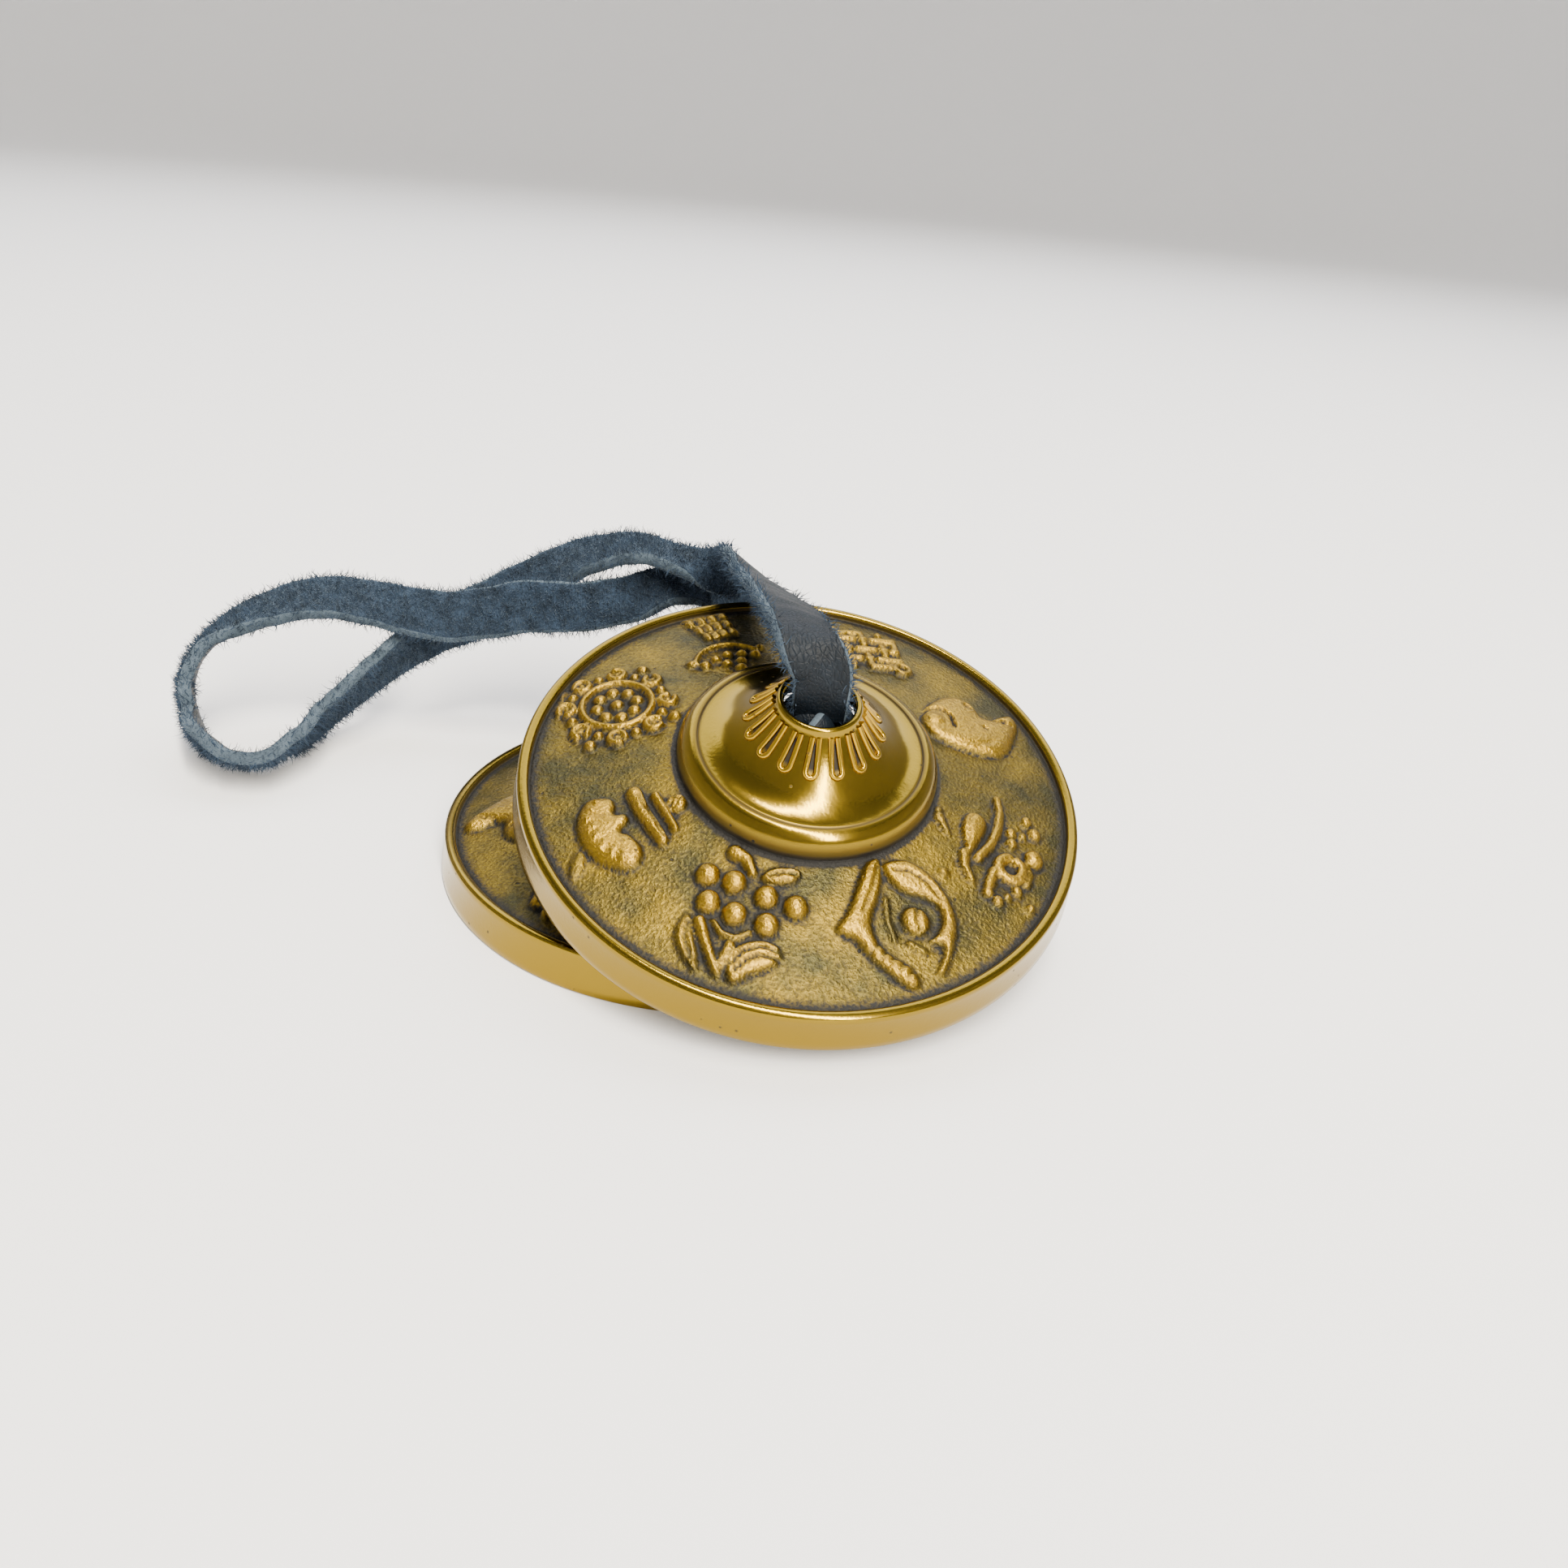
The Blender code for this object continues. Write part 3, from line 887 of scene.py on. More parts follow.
def endless_knot() -> Sign:
    """A woven knot with no ends: a lattice of three by three bars with looped corners."""
    lean = math.radians(25.0)
    across, along = (-math.cos(lean), math.sin(lean)), (math.sin(lean), math.cos(lean))
    middle, pitch, reach = (-1.0, 1.6), 2.55, 4.3

    def spot(a: float, b: float) -> Point2:
        """A lattice place, counted along the two ways of the bars."""
        return (middle[0] + a * across[0] + b * along[0], middle[1] + a * across[1] + b * along[1])

    raised: list[Any] = []
    for lane in (-pitch, 0.0, pitch):
        raised.append(Bar([spot(-reach, lane), spot(reach, lane)], 0.68, None, 0.95))
        raised.append(Bar([spot(lane, -reach), spot(lane, reach)], 0.62, None, 0.8))
    for side in (-1.0, 1.0):
        raised.append(Bar([spot(side * reach, 0.0), spot(side * reach, side * pitch)], 0.62, None, 0.85))
        raised.append(Bar([spot(0.0, side * reach), spot(-side * pitch, side * reach)], 0.62, None, 0.85))
        raised.append(Hoop(spot(side * reach * 0.98, -side * reach * 0.98), 1.0, 0.5, 0.8))
    cuts = []
    for a in (-pitch, 0.0, pitch):
        for b in (-pitch, 0.0, pitch):
            lifted = round((a + b) / pitch) % 2 == 0
            for side in (-0.78, 0.78):
                line = [spot(a - 0.6, b + side), spot(a + 0.6, b + side)]
                turned = [spot(a + side, b - 0.6), spot(a + side, b + 0.6)]
                cuts.append(Cut(line if lifted else turned, 0.2, 0.6))
    return Sign("endless_knot", raised, cuts)


def banner() -> Sign:
    """A tiered banner under an arch with hanging beads."""
    raised: list[Any] = []
    for y, half in ((7.0, 2.9), (4.9, 2.5), (2.8, 2.2)):
        for column in (-1.5, -0.5, 0.5, 1.5):
            x = -1.3 + column * half * 0.58
            raised.append(Bar([(x, y - 0.4), (x, y + 0.3)], 0.66, None, 0.9))
        raised.append(Bar([(-1.5 - half, y + 1.05), (-1.1 + half, y + 1.05)], 0.24, None, 0.6))
    raised.append(Hoop((0.7, -4.6), 4.7, 0.42, 0.85, 22.0, 136.0))
    beads = [(4.0, -3.5), (2.2, -2.9), (0.3, -2.4), (-1.5, -2.9), (-3.2, -3.6), (1.3, -4.4), (-0.7, -4.5)]
    raised += [Ball(at, 0.82, 0.95) for at in beads]
    raised += [Ball((0.1, -6.0), 0.9, 0.95), Ball((5.5, -2.4), 0.75, 0.8), Ball((-4.6, -2.2), 0.75, 0.8)]
    return Sign("banner", raised)


def wheel() -> Sign:
    """A wheel: a hoop round nine beads, with curls and beads on its outside."""
    hub = (-0.7, 1.0)
    raised: list[Any] = [Hoop(hub, 4.35, 0.5, 1.0), Ball(hub, 0.95, 1.0)]
    raised += [Ball(at, 0.92, 0.95) for at in around(hub, 2.5, 8, 10.0)]
    for number, at in enumerate(around(hub, 6.2, 8, 22.0)):
        raised += [Hoop(at, 0.95, 0.46, 0.95, 45.0 * number, 290.0), Ball(at, 0.5, 0.75)]
    raised += [Ball(at, 0.72, 0.9) for at in around(hub, 5.9, 8, 44.5)]
    raised += [Ball(at, 0.85, 0.95) for at in around(hub, 7.7, 8, 2.0)[::2]]
    return Sign("wheel", raised)


def parasol() -> Sign:
    """A smooth kidney-shaped canopy with stitched edge, two leaning staffs and a knob."""
    outline = [(-4.2, 0.4), (-4.8, 2.2), (-3.6, 3.8), (-1.8, 4.8), (0.4, 5.1), (2.6, 4.7), (4.8, 3.6),
        (6.3, 2.1)]
    outline += [(6.4, 0.6), (5.2, -0.6), (3.6, -0.6), (2.0, -0.1), (1.3, 0.5), (0.4, -0.9), (-0.8, -0.8)]
    outline += [(-1.3, 0.2), (-2.2, -0.3), (-3.3, -0.4)]
    stitches = [(-3.7, 1.9), (-3.0, 3.0), (-1.9, 3.7), (-0.5, 4.0), (1.0, 4.0), (2.5, 3.7), (3.9, 3.0),
        (5.0, 2.0)]
    raised: list[Any] = [Plate(outline, 1.15, 1.0, 0.4)]
    for x, y in stitches:
        raised.append(Bar([(x * 0.9, y * 0.78), (x * 1.02, y * 1.0)], 0.27, None, 1.4))
    raised += [
        Bar([(-3.0, -2.7), (-0.2, -2.5), (2.4, -2.8), (4.6, -3.0)], 1.0, 0.75, 1.1),
        Bar([(-1.4, -4.7), (1.0, -4.8), (3.8, -4.9)], 0.62, 0.5, 0.9),
        Ball((0.8, -6.4), 1.3, 1.1),
        Plate([(1.4, 5.6), (2.6, 5.2), (4.3, 6.6), (4.4, 7.8), (2.6, 7.2)], 0.5, 0.3, 0.1),
    ]
    cuts = [Cut([(0.4, -6.9), (1.2, -6.0)], 0.18, 0.5), Cut([(0.0, -6.4), (0.9, -5.6)], 0.18, 0.5)]
    return Sign("parasol", raised, cuts + [Cut([(-2.6, -2.9), (4.2, -3.3)], 0.16, 0.35)])


# ---------------------------------------------------------------------------------------
# Cymbals
# ---------------------------------------------------------------------------------------


# the boss's inside, in millimetres, from the field's ceiling up to the hole
BOSS_INSIDE: list[Point2] = [(13.8, 7.0), (13.5, 7.7), (12.0, 9.0), (10.2, 10.25), (8.5, 11.6), (7.1, 12.9)]
BOSS_INSIDE += [(6.2, 14.0), (5.6, 15.1), (5.2, 16.0), (4.7, 16.4), (4.25, 16.6)]


@dataclass
class Cymbal:
    """One cast cymbal, turned from its half section and dressed with its signs.

    Radii and heights are millimetres from its own axis and striking edge, as in the CAD.
    """

    name: str
    centre: Vector
    turn: Matrix
    first_sign_deg: float
    brass: bpy.types.Material
    rim_radius: float = 35.0
    lip_radius: float = 34.4
    lip_inner_radius: float = 33.05
    lip_height: float = 5.2
    edge_width: float = 3.1
    field_outer_height: float = 4.3
    field_inner_height: float = 8.15
    collar_radius: float = 15.84
    collar_height: float = 8.5
    groove_radius: float = 13.6
    groove_height: float = 11.1
    groove_width: float = 0.3
    flare_radius: float = 5.2
    flare_top: float = 17.5
    flare_power: float = 2.0
    hole_radius: float = 4.15
    hole_height: float = 18.24
    wall: float = 1.85
    corner: float = 0.3
    steps: int = 500
    ring_spacing: float = 0.24
    sign_radius: float = 24.0
    petals: int = 16
    petal_start: float = 5.3
    petal_length: float = 3.0
    petal_half_width: float = 0.62
    ridge: float = 0.36
    slot_depth: float = 0.16
    # inside the boss, nearer the axis than this, the casting is painted nearly black: painted shade in the
    # hole's throat
    throat_shade_radius: float = 9.0
    throat_painted_shade: float = 0.9

    def to_world(self) -> Matrix:
        """The cymbal's place: from its own axes, in metres, to the frame."""
        return Matrix.Translation(self.centre) @ self.turn

    def boss_height(self, radius: Any) -> Any:
        """Height of the boss's hollow flare at a radius."""
        foot = self.groove_height + self.corner
        share = (
            (radius - self.flare_radius) / (self.groove_radius - self.groove_width / 2
            - self.flare_radius)
        )
        return foot + (self.flare_top - foot) * (1.0 - np.clip(share, 0.0, 1.0)) ** self.flare_power

    def outside(self) -> list[Point2]:
        """The section from the hole's bead down the outside to the striking edge."""
        section: list[Point2] = [(self.hole_radius, self.hole_height - 0.5)]
        for degrees in range(180, -1, -30):
            a = math.radians(degrees)
            section.append((4.62 + 0.47 * math.cos(a), self.hole_height - 0.5 + 0.5 * math.sin(a)))
        foot = self.groove_radius - self.groove_width / 2
        count = round((foot - self.flare_radius) / self.ring_spacing)
        for radius in np.linspace(self.flare_radius, foot, count):
            section.append((float(radius), float(self.boss_height(radius))))
        section += [(self.groove_radius, self.groove_height - 0.05)]
        inner = self.groove_radius + 0.15
        for k in range(15):
            a = math.radians(100.0 - 100.0 * k / 14.0)
            wide = (self.collar_radius - inner) * (math.cos(a) if a < math.pi / 2 else math.cos(a) * 0.4)
            section.append((inner + wide,
                self.collar_height + (self.groove_height + 0.4 - self.collar_height) * math.sin(a)))
        slope = (
            (self.field_inner_height - self.field_outer_height) / (self.lip_inner_radius
            - self.collar_radius)
        )
        section.append((self.collar_radius + 0.02, self.field_inner_height + 0.1))
        count = round((self.lip_inner_radius - self.collar_radius) / self.ring_spacing)
        for k in range(1, count):
            radius = self.collar_radius + (self.lip_inner_radius - self.collar_radius) * k / count
            section.append((radius, self.field_inner_height - slope * (radius - self.collar_radius)))
        low = self.field_outer_height - 0.2
        section += [(self.lip_inner_radius - 0.04, low), (self.lip_inner_radius + 0.02, low + 0.45)]
        middle, half = (
            (self.lip_inner_radius + self.lip_radius) / 2, (self.lip_radius
            - self.lip_inner_radius) / 2
        )
        for k in range(9):
            a = math.radians(165.0 - 150.0 * k / 8.0)
            section.append((middle + half * math.cos(a), self.lip_height - 0.45 + 0.45 * math.sin(a)))
        for k in range(1, 9):
            share = k / 9.0
            radius = self.lip_radius + (self.rim_radius - self.lip_radius) * share**1.5
            section.append((radius, (self.lip_height - 0.5) * (1.0 - share) + 0.5 * share))
        section += [(self.rim_radius, 0.28), (self.rim_radius - 0.06, 0.09), (self.rim_radius - 0.22, 0.0)]
        return section

    def inside(self) -> list[Point2]:
        """The section from the striking edge up the hollow underside to the hole."""
        ceiling = self.field_outer_height - self.wall
        section: list[Point2] = [(self.rim_radius - share * self.edge_width, 0.0) for share in (0.3, 0.6,
            0.95)]
        section += [(self.rim_radius - self.edge_width - 0.1, 0.12),
            (self.rim_radius - self.edge_width - 0.45, ceiling - 0.5)]
        section += [(self.rim_radius - self.edge_width - 0.8, ceiling)]
        for share in np.linspace(0.08, 1.0, 14):
            radius = 31.1 + (14.2 - 31.1) * share
            section.append((float(radius),
                float(ceiling + (self.field_inner_height - self.wall - ceiling) * share)))
        return section + BOSS_INSIDE + [(self.hole_radius, 17.0)]

    def signs(self) -> list[Sign]:
        """The eight signs in the order they stand round the boss."""
        return [blossom(), twin_fish(), vase(), conch(), endless_knot(), banner(), wheel(), parasol()]

    def relief(self, radius: np.ndarray, angle: np.ndarray) -> np.ndarray:
        """Height of the signs over the bare casting, in millimetres."""
        result = np.zeros_like(radius)
        for number, sign in enumerate(self.signs()):
            middle = math.radians(self.first_sign_deg + 45.0 * number)
            away = (angle - middle + math.pi) % math.tau - math.pi
            near = (np.abs(away) < math.radians(30.0)) & (radius > self.collar_radius) & (radius < 33.0)
            x, y = radius[near] * np.sin(away[near]), radius[near] * np.cos(away[near]) - self.sign_radius
            result[near] = np.maximum(result[near], sign.height(x, y))
        fade = smooth_step(self.collar_radius + 0.05, self.collar_radius + 0.6, radius)
        return result * fade * (1.0 - smooth_step(32.3, 32.9, radius))

    def petal_slots(self, radius: np.ndarray, angle: np.ndarray) -> np.ndarray:
        """How far each place lies inside a petal's sunk middle, from 0 to 1."""
        pitch = math.tau / self.petals
        away = (angle + pitch / 2) % pitch - pitch / 2
        across = np.abs(away) * radius / self.petal_half_width
        length = (radius - self.petal_start) / self.petal_length
        return (1.0 - smooth_step(0.3, 0.85, across)) * smooth_step(0.0, 0.15,
            length) * (1.0 - smooth_step(0.7, 0.98, length))

    def casting(self) -> bpy.types.Mesh:
        """The whole casting in its own axes, with the numbers that its brass reads."""
        section = self.outside() + self.inside()
        outside_count = len(self.outside())
        source = bpy.data.meshes.new(f"{self.name}_section")
        source.from_pydata([(r * MM, 0.0, z * MM) for r, z in section], [], [])
        mesh = grow(
            self.name,
            source,
            turning_tree(),
            {"Rings": len(section), "Steps": self.steps, "Material": self.brass},
        )
        ring = np.round(read_attribute(mesh, "ring")).astype(int)
        step = np.round(read_attribute(mesh, "step")).astype(int)
        radius = np.tile(np.array([r for r, _ in section])[:, None], (1, self.steps))
        height = np.tile(np.array([z for _, z in section])[:, None], (1, self.steps))
        angle = np.tile(np.arange(self.steps) * math.tau / self.steps, (len(section), 1))
        top = np.arange(len(section))[:, None] < outside_count
        relief = np.where(top, self.relief(radius, angle), 0.0)
        slots = np.where(top, self.petal_slots(radius, angle), 0.0)
        waves = self.casting_waves(radius, angle)
        lifted = height + relief - self.slot_depth * slots + np.where(top & (radius < 33.0), waves, 0.0)
        cavity = self.cavity(lifted, radius, outside_count, slots)
        # painted shade: the boss's inside near the hole goes nearly black, much darker than the patina on
        # the rest of the underside
        cavity = np.where(~top & (radius < self.throat_shade_radius), self.throat_painted_shade, cavity)
        on_field = (radius > self.collar_radius) & (radius < self.lip_inner_radius) & top
        worn = np.where(on_field, smooth_step(0.35, 0.95, relief), 0.0)
        polished = np.where(on_field | ~top, 0.0, 1.0)
        polished[outside_count : outside_count + 3] = 0.8
        points = np.stack([radius * np.cos(angle), radius * np.sin(angle), lifted], axis=2) * MM
        mesh.vertices.foreach_set("co", points[ring, step].astype(np.float32).ravel())
        for name, values in (("cavity", cavity), ("worn", worn), ("polished", polished)):
            set_attribute(mesh, name, values[ring, step])
        for name in ("ring", "step"):
            mesh.attributes.remove(mesh.attributes[name])
        mesh.update()
        point_outwards(mesh)
        return mesh

    def casting_waves(self, radius: np.ndarray, angle: np.ndarray) -> np.ndarray:
        """Slow hand-finished unevenness of the surface, a few hundredths of a millimetre."""
        x, y = radius * np.cos(angle), radius * np.sin(angle)
        wave = np.sin(0.71 * x + 1.3) * np.sin(0.63 * y + 0.4) + np.sin(1.37 * x - 0.9 * y) * 0.6
        wave += np.sin(2.3 * y + 1.9 * x + 2.0) * 0.35
        calm = np.where(radius > self.collar_radius, 1.0, 0.25)
        return wave * 0.03 * calm

    def cavity(self, height: np.ndarray, radius: np.ndarray, rings: int, slots: np.ndarray) -> np.ndarray:
        """Where patina stays: how deep each place lies under the mean of what is round it."""
        result = np.zeros_like(height)
        outer = height[:rings]
        spread = np.zeros_like(outer)
        total = 0.0
        for reach, weight in ((0.35, 1.0), (0.8, 0.8), (1.3, 0.45)):
            for turn in range(12):
                a = math.tau * turn / 12.0
                rows = self.shifted_rows(radius[:rings, 0], outer, reach * math.sin(a))
                spread += weight * self.shifted_steps(rows, radius[:rings, 0], reach * math.cos(a))
                total += weight
        hollow = spread / total - outer
        result[:rings] = np.clip(smooth_step(0.03, 0.34, hollow) + 0.75 * slots[:rings], 0.0, 1.0)
        corner = np.exp(-(((radius - self.lip_inner_radius + 0.35) / 0.75) ** 2))
        collar = np.exp(-(((radius - self.collar_radius - 0.2) / 0.5) ** 2))
        groove = np.exp(-(((radius - self.groove_radius) / 0.28) ** 2))
        lines = np.maximum(np.maximum(0.95 * corner, 0.85 * collar), 0.8 * groove)
        result = np.maximum(result, lines)
        result[radius > self.lip_inner_radius + 0.1] = 0.0
        result[rings + 3 :] = 0.25
        return result

    @staticmethod
    def shifted_rows(radii: np.ndarray, grid: np.ndarray, reach: float) -> np.ndarray:
        """The grid read at places a little further out or in."""
        order = np.maximum.accumulate(radii)
        order = order + np.arange(len(order)) * 1e-6
        spots = order + reach
        index = np.clip(np.searchsorted(order, spots) - 1, 0, len(order) - 2)
        share = np.clip((spots - order[index]) / (order[index + 1] - order[index]), 0.0, 1.0)[:, None]
        return grid[index] * (1.0 - share) + grid[index + 1] * share

    def shifted_steps(self, grid: np.ndarray, radii: np.ndarray, reach: float) -> np.ndarray:
        """The grid read at places a little further round."""
        steps = np.arange(self.steps)[None, :] + reach / radii[:, None] * self.steps / math.tau
        low = np.floor(steps).astype(int)
        share = steps - low
        rows = np.arange(len(radii))[:, None]
        return grid[rows, low % self.steps] * (1.0 - share) + grid[rows, (low + 1) % self.steps] * share

    def petal_ring(self) -> bpy.types.Mesh:
        """The petals' U-shaped ridges, which stand on the boss round the hole."""
        end = self.petal_start + self.petal_length - self.petal_half_width
        path: list[Point2] = [(self.petal_start + (end - self.petal_start) * k / 8,
            -self.petal_half_width) for k in range(9)]
        for degrees in range(-75, 76, 25):
            a = math.radians(degrees)
            path.append((end + self.petal_half_width * math.cos(a), self.petal_half_width * math.sin(a)))
        path += [(x, -y) for x, y in path[8::-1]]
        points = []
        for x, y in path:
            fan = 0.62 + 0.38 * (x - self.petal_start) / (end - self.petal_start)
            radius = math.hypot(x, y * fan)
            points.append((x * MM, y * fan * MM, (float(self.boss_height(radius)) - 0.02) * MM))
        source = bpy.data.meshes.new(f"{self.name}_petal_line")
        source.from_pydata(points, [(k, k + 1) for k in range(len(points) - 1)], [])
        values = {"Count": self.petals, "Ridge": self.ridge * MM, "Material": self.brass}
        mesh = grow(f"{self.name}_petals", source, petal_tree(), values)
        mesh.shade_smooth()
        for name, value in (("cavity", 0.0), ("worn", 1.0), ("polished", 1.0)):
            set_attribute(mesh, name, np.full(len(mesh.vertices), value))
        return mesh

    def build(self) -> list[bpy.types.Object]:
        """Builds the cymbal and its petals and rides them on the cymbal's body."""
        body = link_mesh(f"{self.name}_casting", self.casting())
        body.data.shade_smooth()
        petals = link_mesh(f"{self.name}_petals", self.petal_ring())
        for piece in (body, petals):
            piece.data.transform(self.to_world())
            piece.data.update()
            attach(piece, self.name)
        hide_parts(self.name)
        return [body, petals]


# ---------------------------------------------------------------------------------------
# Strap and knots
# ---------------------------------------------------------------------------------------

# The strap's route, in metres: a point on its middle line, the direction to its right
# edge as seen along the run with the grain side up, and its width. Each run starts at its
# cymbal's knot and ends at the loop's far end.
UPPER_ROUTE: list[Station] = [
    ((0.0070, -0.0095, 0.0281), (1.00, 0.00, -0.07), 0.0066),
    ((0.0072, -0.0104, 0.0308), (1.00, 0.00, -0.07), 0.0066),
    ((0.0070, -0.0108, 0.0340), (1.00, 0.02, -0.07), 0.0068),
    ((0.0051, -0.0096, 0.0370), (0.98, 0.12, -0.14), 0.0072),
    ((0.0038, -0.0051, 0.0376), (0.94, 0.28, -0.20), 0.0076),
    ((0.0023, 0.0009, 0.0371), (0.86, 0.40, -0.32), 0.0080),
    ((0.0002, 0.0089, 0.0359), (0.76, 0.50, -0.42), 0.0080),
    ((-0.0024, 0.0179, 0.0346), (0.61, 0.61, -0.51), 0.0080),
    ((-0.0051, 0.0259, 0.0336), (0.45, 0.55, -0.70), 0.0076),
    ((-0.0074, 0.0319, 0.0305), (0.15, -0.10, -0.98), 0.0066),
    ((-0.0111, 0.0349, 0.0303), (0.00, -0.93, -0.36), 0.0070),
    ((-0.0157, 0.0371, 0.0304), (0.00, -1.00, -0.04), 0.0078),
    ((-0.0212, 0.0394, 0.0304), (0.00, -0.99, -0.10), 0.0080),
    ((-0.0265, 0.0419, 0.0287), (0.05, -0.96, -0.27), 0.0080),
    ((-0.0318, 0.0434, 0.0262), (0.18, -0.88, -0.45), 0.0080),
    ((-0.0375, 0.0439, 0.0225), (0.34, -0.66, -0.67), 0.0080),
    ((-0.0433, 0.0439, 0.0187), (0.44, -0.30, -0.85), 0.0080),
    ((-0.0487, 0.0425, 0.0157), (0.40, 0.10, -0.91), 0.0080),
    ((-0.0538, 0.0393, 0.0134), (0.22, 0.48, -0.85), 0.0080),
    ((-0.0583, 0.0344, 0.0108), (0.06, 0.66, -0.75), 0.0080),
    ((-0.0621, 0.0292, 0.0079), (-0.06, 0.72, -0.69), 0.0080),
    ((-0.0657, 0.0239, 0.0050), (-0.16, 0.76, -0.63), 0.0080),
    ((-0.0673, 0.0157, 0.0046), (-0.30, 0.80, -0.52), 0.0080),
    ((-0.0701, 0.0116, 0.0037), (-0.40, 0.79, -0.46), 0.0080),
    ((-0.0739, 0.0115, 0.0036), (-0.41, 0.79, -0.46), 0.0080),
    ((-0.0776, 0.0129, 0.0046), (-0.42, 0.79, -0.45), 0.0080),
    ((-0.0819, 0.0176, 0.0053), (-0.40, 0.81, -0.43), 0.0080),
    ((-0.0840, 0.0207, 0.0084), (-0.38, 0.82, -0.42), 0.0080),
]
LOWER_ROUTE: list[Station] = [
    ((-0.0058, 0.0039, 0.0157), (1.00, 0.00, 0.00), 0.0066),
    ((-0.0058, 0.0042, 0.0180), (1.00, 0.00, 0.00), 0.0066),
    ((-0.0058, 0.0055, 0.0199), (1.00, 0.00, 0.00), 0.0070),
    ((-0.0057, 0.0081, 0.0205), (1.00, 0.00, -0.05), 0.0076),
    ((-0.0052, 0.0115, 0.0199), (0.99, -0.05, -0.12), 0.0080),
    ((-0.0038, 0.0159, 0.0186), (0.94, -0.15, -0.30), 0.0080),
    ((-0.0015, 0.0211, 0.0172), (0.80, -0.25, -0.55), 0.0080),
    ((-0.0002, 0.0265, 0.0164), (0.45, -0.20, -0.87), 0.0080),
    ((0.0002, 0.0321, 0.0166), (0.10, -0.05, -0.99), 0.0080),
    ((-0.0012, 0.0371, 0.0184), (-0.10, -0.10, -0.99), 0.0080),
    ((-0.0042, 0.0401, 0.0214), (-0.25, 0.00, -0.97), 0.0080),
    ((-0.0086, 0.0409, 0.0251), (-0.10, -0.35, -0.93), 0.0076),
    ((-0.0145, 0.0391, 0.0258), (0.00, -0.86, -0.50), 0.0076),
    ((-0.0227, 0.0374, 0.0229), (0.00, -0.50, -0.86), 0.0072),
    ((-0.0302, 0.0365, 0.0213), (0.00, -0.35, -0.94), 0.0075),
    ((-0.0375, 0.0359, 0.0209), (0.00, -0.42, -0.91), 0.0080),
    ((-0.0437, 0.0357, 0.0193), (0.00, -0.55, -0.83), 0.0080),
    ((-0.0498, 0.0351, 0.0183), (0.00, -0.68, -0.73), 0.0080),
    ((-0.0564, 0.0351, 0.0188), (0.05, -0.81, -0.59), 0.0080),
    ((-0.0627, 0.0357, 0.0193), (0.12, -0.88, -0.47), 0.0080),
    ((-0.0693, 0.0359, 0.0192), (0.22, -0.89, -0.40), 0.0080),
    ((-0.0756, 0.0351, 0.0175), (0.30, -0.91, -0.28), 0.0080),
    ((-0.0807, 0.0327, 0.0154), (0.39, -0.92, -0.05), 0.0080),
    ((-0.0838, 0.0289, 0.0133), (0.41, -0.89, 0.20), 0.0080),
    ((-0.0845, 0.0249, 0.0114), (0.40, -0.85, 0.34), 0.0080),
    ((-0.0840, 0.0207, 0.0084), (0.38, -0.82, 0.42), 0.0080),
]


@dataclass(frozen=True)
class SmoothPath:
    """One smooth curve through the whole strap's stations, from knot to knot."""

    points: np.ndarray
    sides: np.ndarray
    widths: np.ndarray
    chords: np.ndarray
    loop_end: float

    @classmethod
    def through(cls, upper: list[Station], lower: list[Station]) -> "SmoothPath":
        """Joins the two runs' stations into one path, upper knot to lower knot."""
        back = [(point, tuple(-c for c in side), width) for point, side, width in lower]
        stations = upper + back[-2::-1]
        points = np.array([station[0] for station in stations], dtype=float)
        sides = np.array([station[1] for station in stations], dtype=float)
        widths = np.array([[station[2]] for station in stations], dtype=float)
        chords = np.linalg.norm(np.diff(points, axis=0), axis=1)
        return cls(points, sides, widths, chords, float(chords[: len(upper) - 1].sum()))

    def read(self, values: np.ndarray, places: np.ndarray) -> np.ndarray:
        """Reads values along the path by cubic Hermite curves.

        Args:
            values: One row for each station.
            places: Distances along the stations' chords.

        Returns:
            One row for each place.
        """
        knots = np.concatenate([[0.0], np.cumsum(self.chords)])
        slopes = np.diff(values, axis=0) / self.chords[:, None]
        inner = slopes[:-1] * self.chords[1:, None] + slopes[1:] * self.chords[:-1, None]
        inner /= (self.chords[:-1] + self.chords[1:])[:, None]
        tangents = np.vstack([slopes[:1], inner, slopes[-1:]])
        index = np.clip(np.searchsorted(knots, places, side="right") - 1, 0, len(self.chords) - 1)
        chord = self.chords[index][:, None]
        t = ((places - knots[index]) / self.chords[index])[:, None]
        start, end = values[index], values[index + 1]
        from_start = (2 * t**3 - 3 * t**2 + 1) * start + (t**3 - 2 * t**2 + t) * chord * tangents[index]
        from_end = (3 * t**2 - 2 * t**3) * end + (t**3 - t**2) * chord * tangents[index + 1]
        return from_start + from_end

    def frames(self, places: np.ndarray) -> tuple[np.ndarray, np.ndarray, np.ndarray, np.ndarray]:
        """Centres, directions to the right edge, directions out of the grain side and widths."""
        step = 0.00005
        centres = self.read(self.points, places)
        ahead = unit_rows(self.read(self.points, places + step) - self.read(self.points, places - step))
        right = self.read(self.sides, places)
        right = unit_rows(right - (right * ahead).sum(axis=1)[:, None] * ahead)
        return centres, right, np.cross(right, ahead), self.read(self.widths, places)[:, 0]


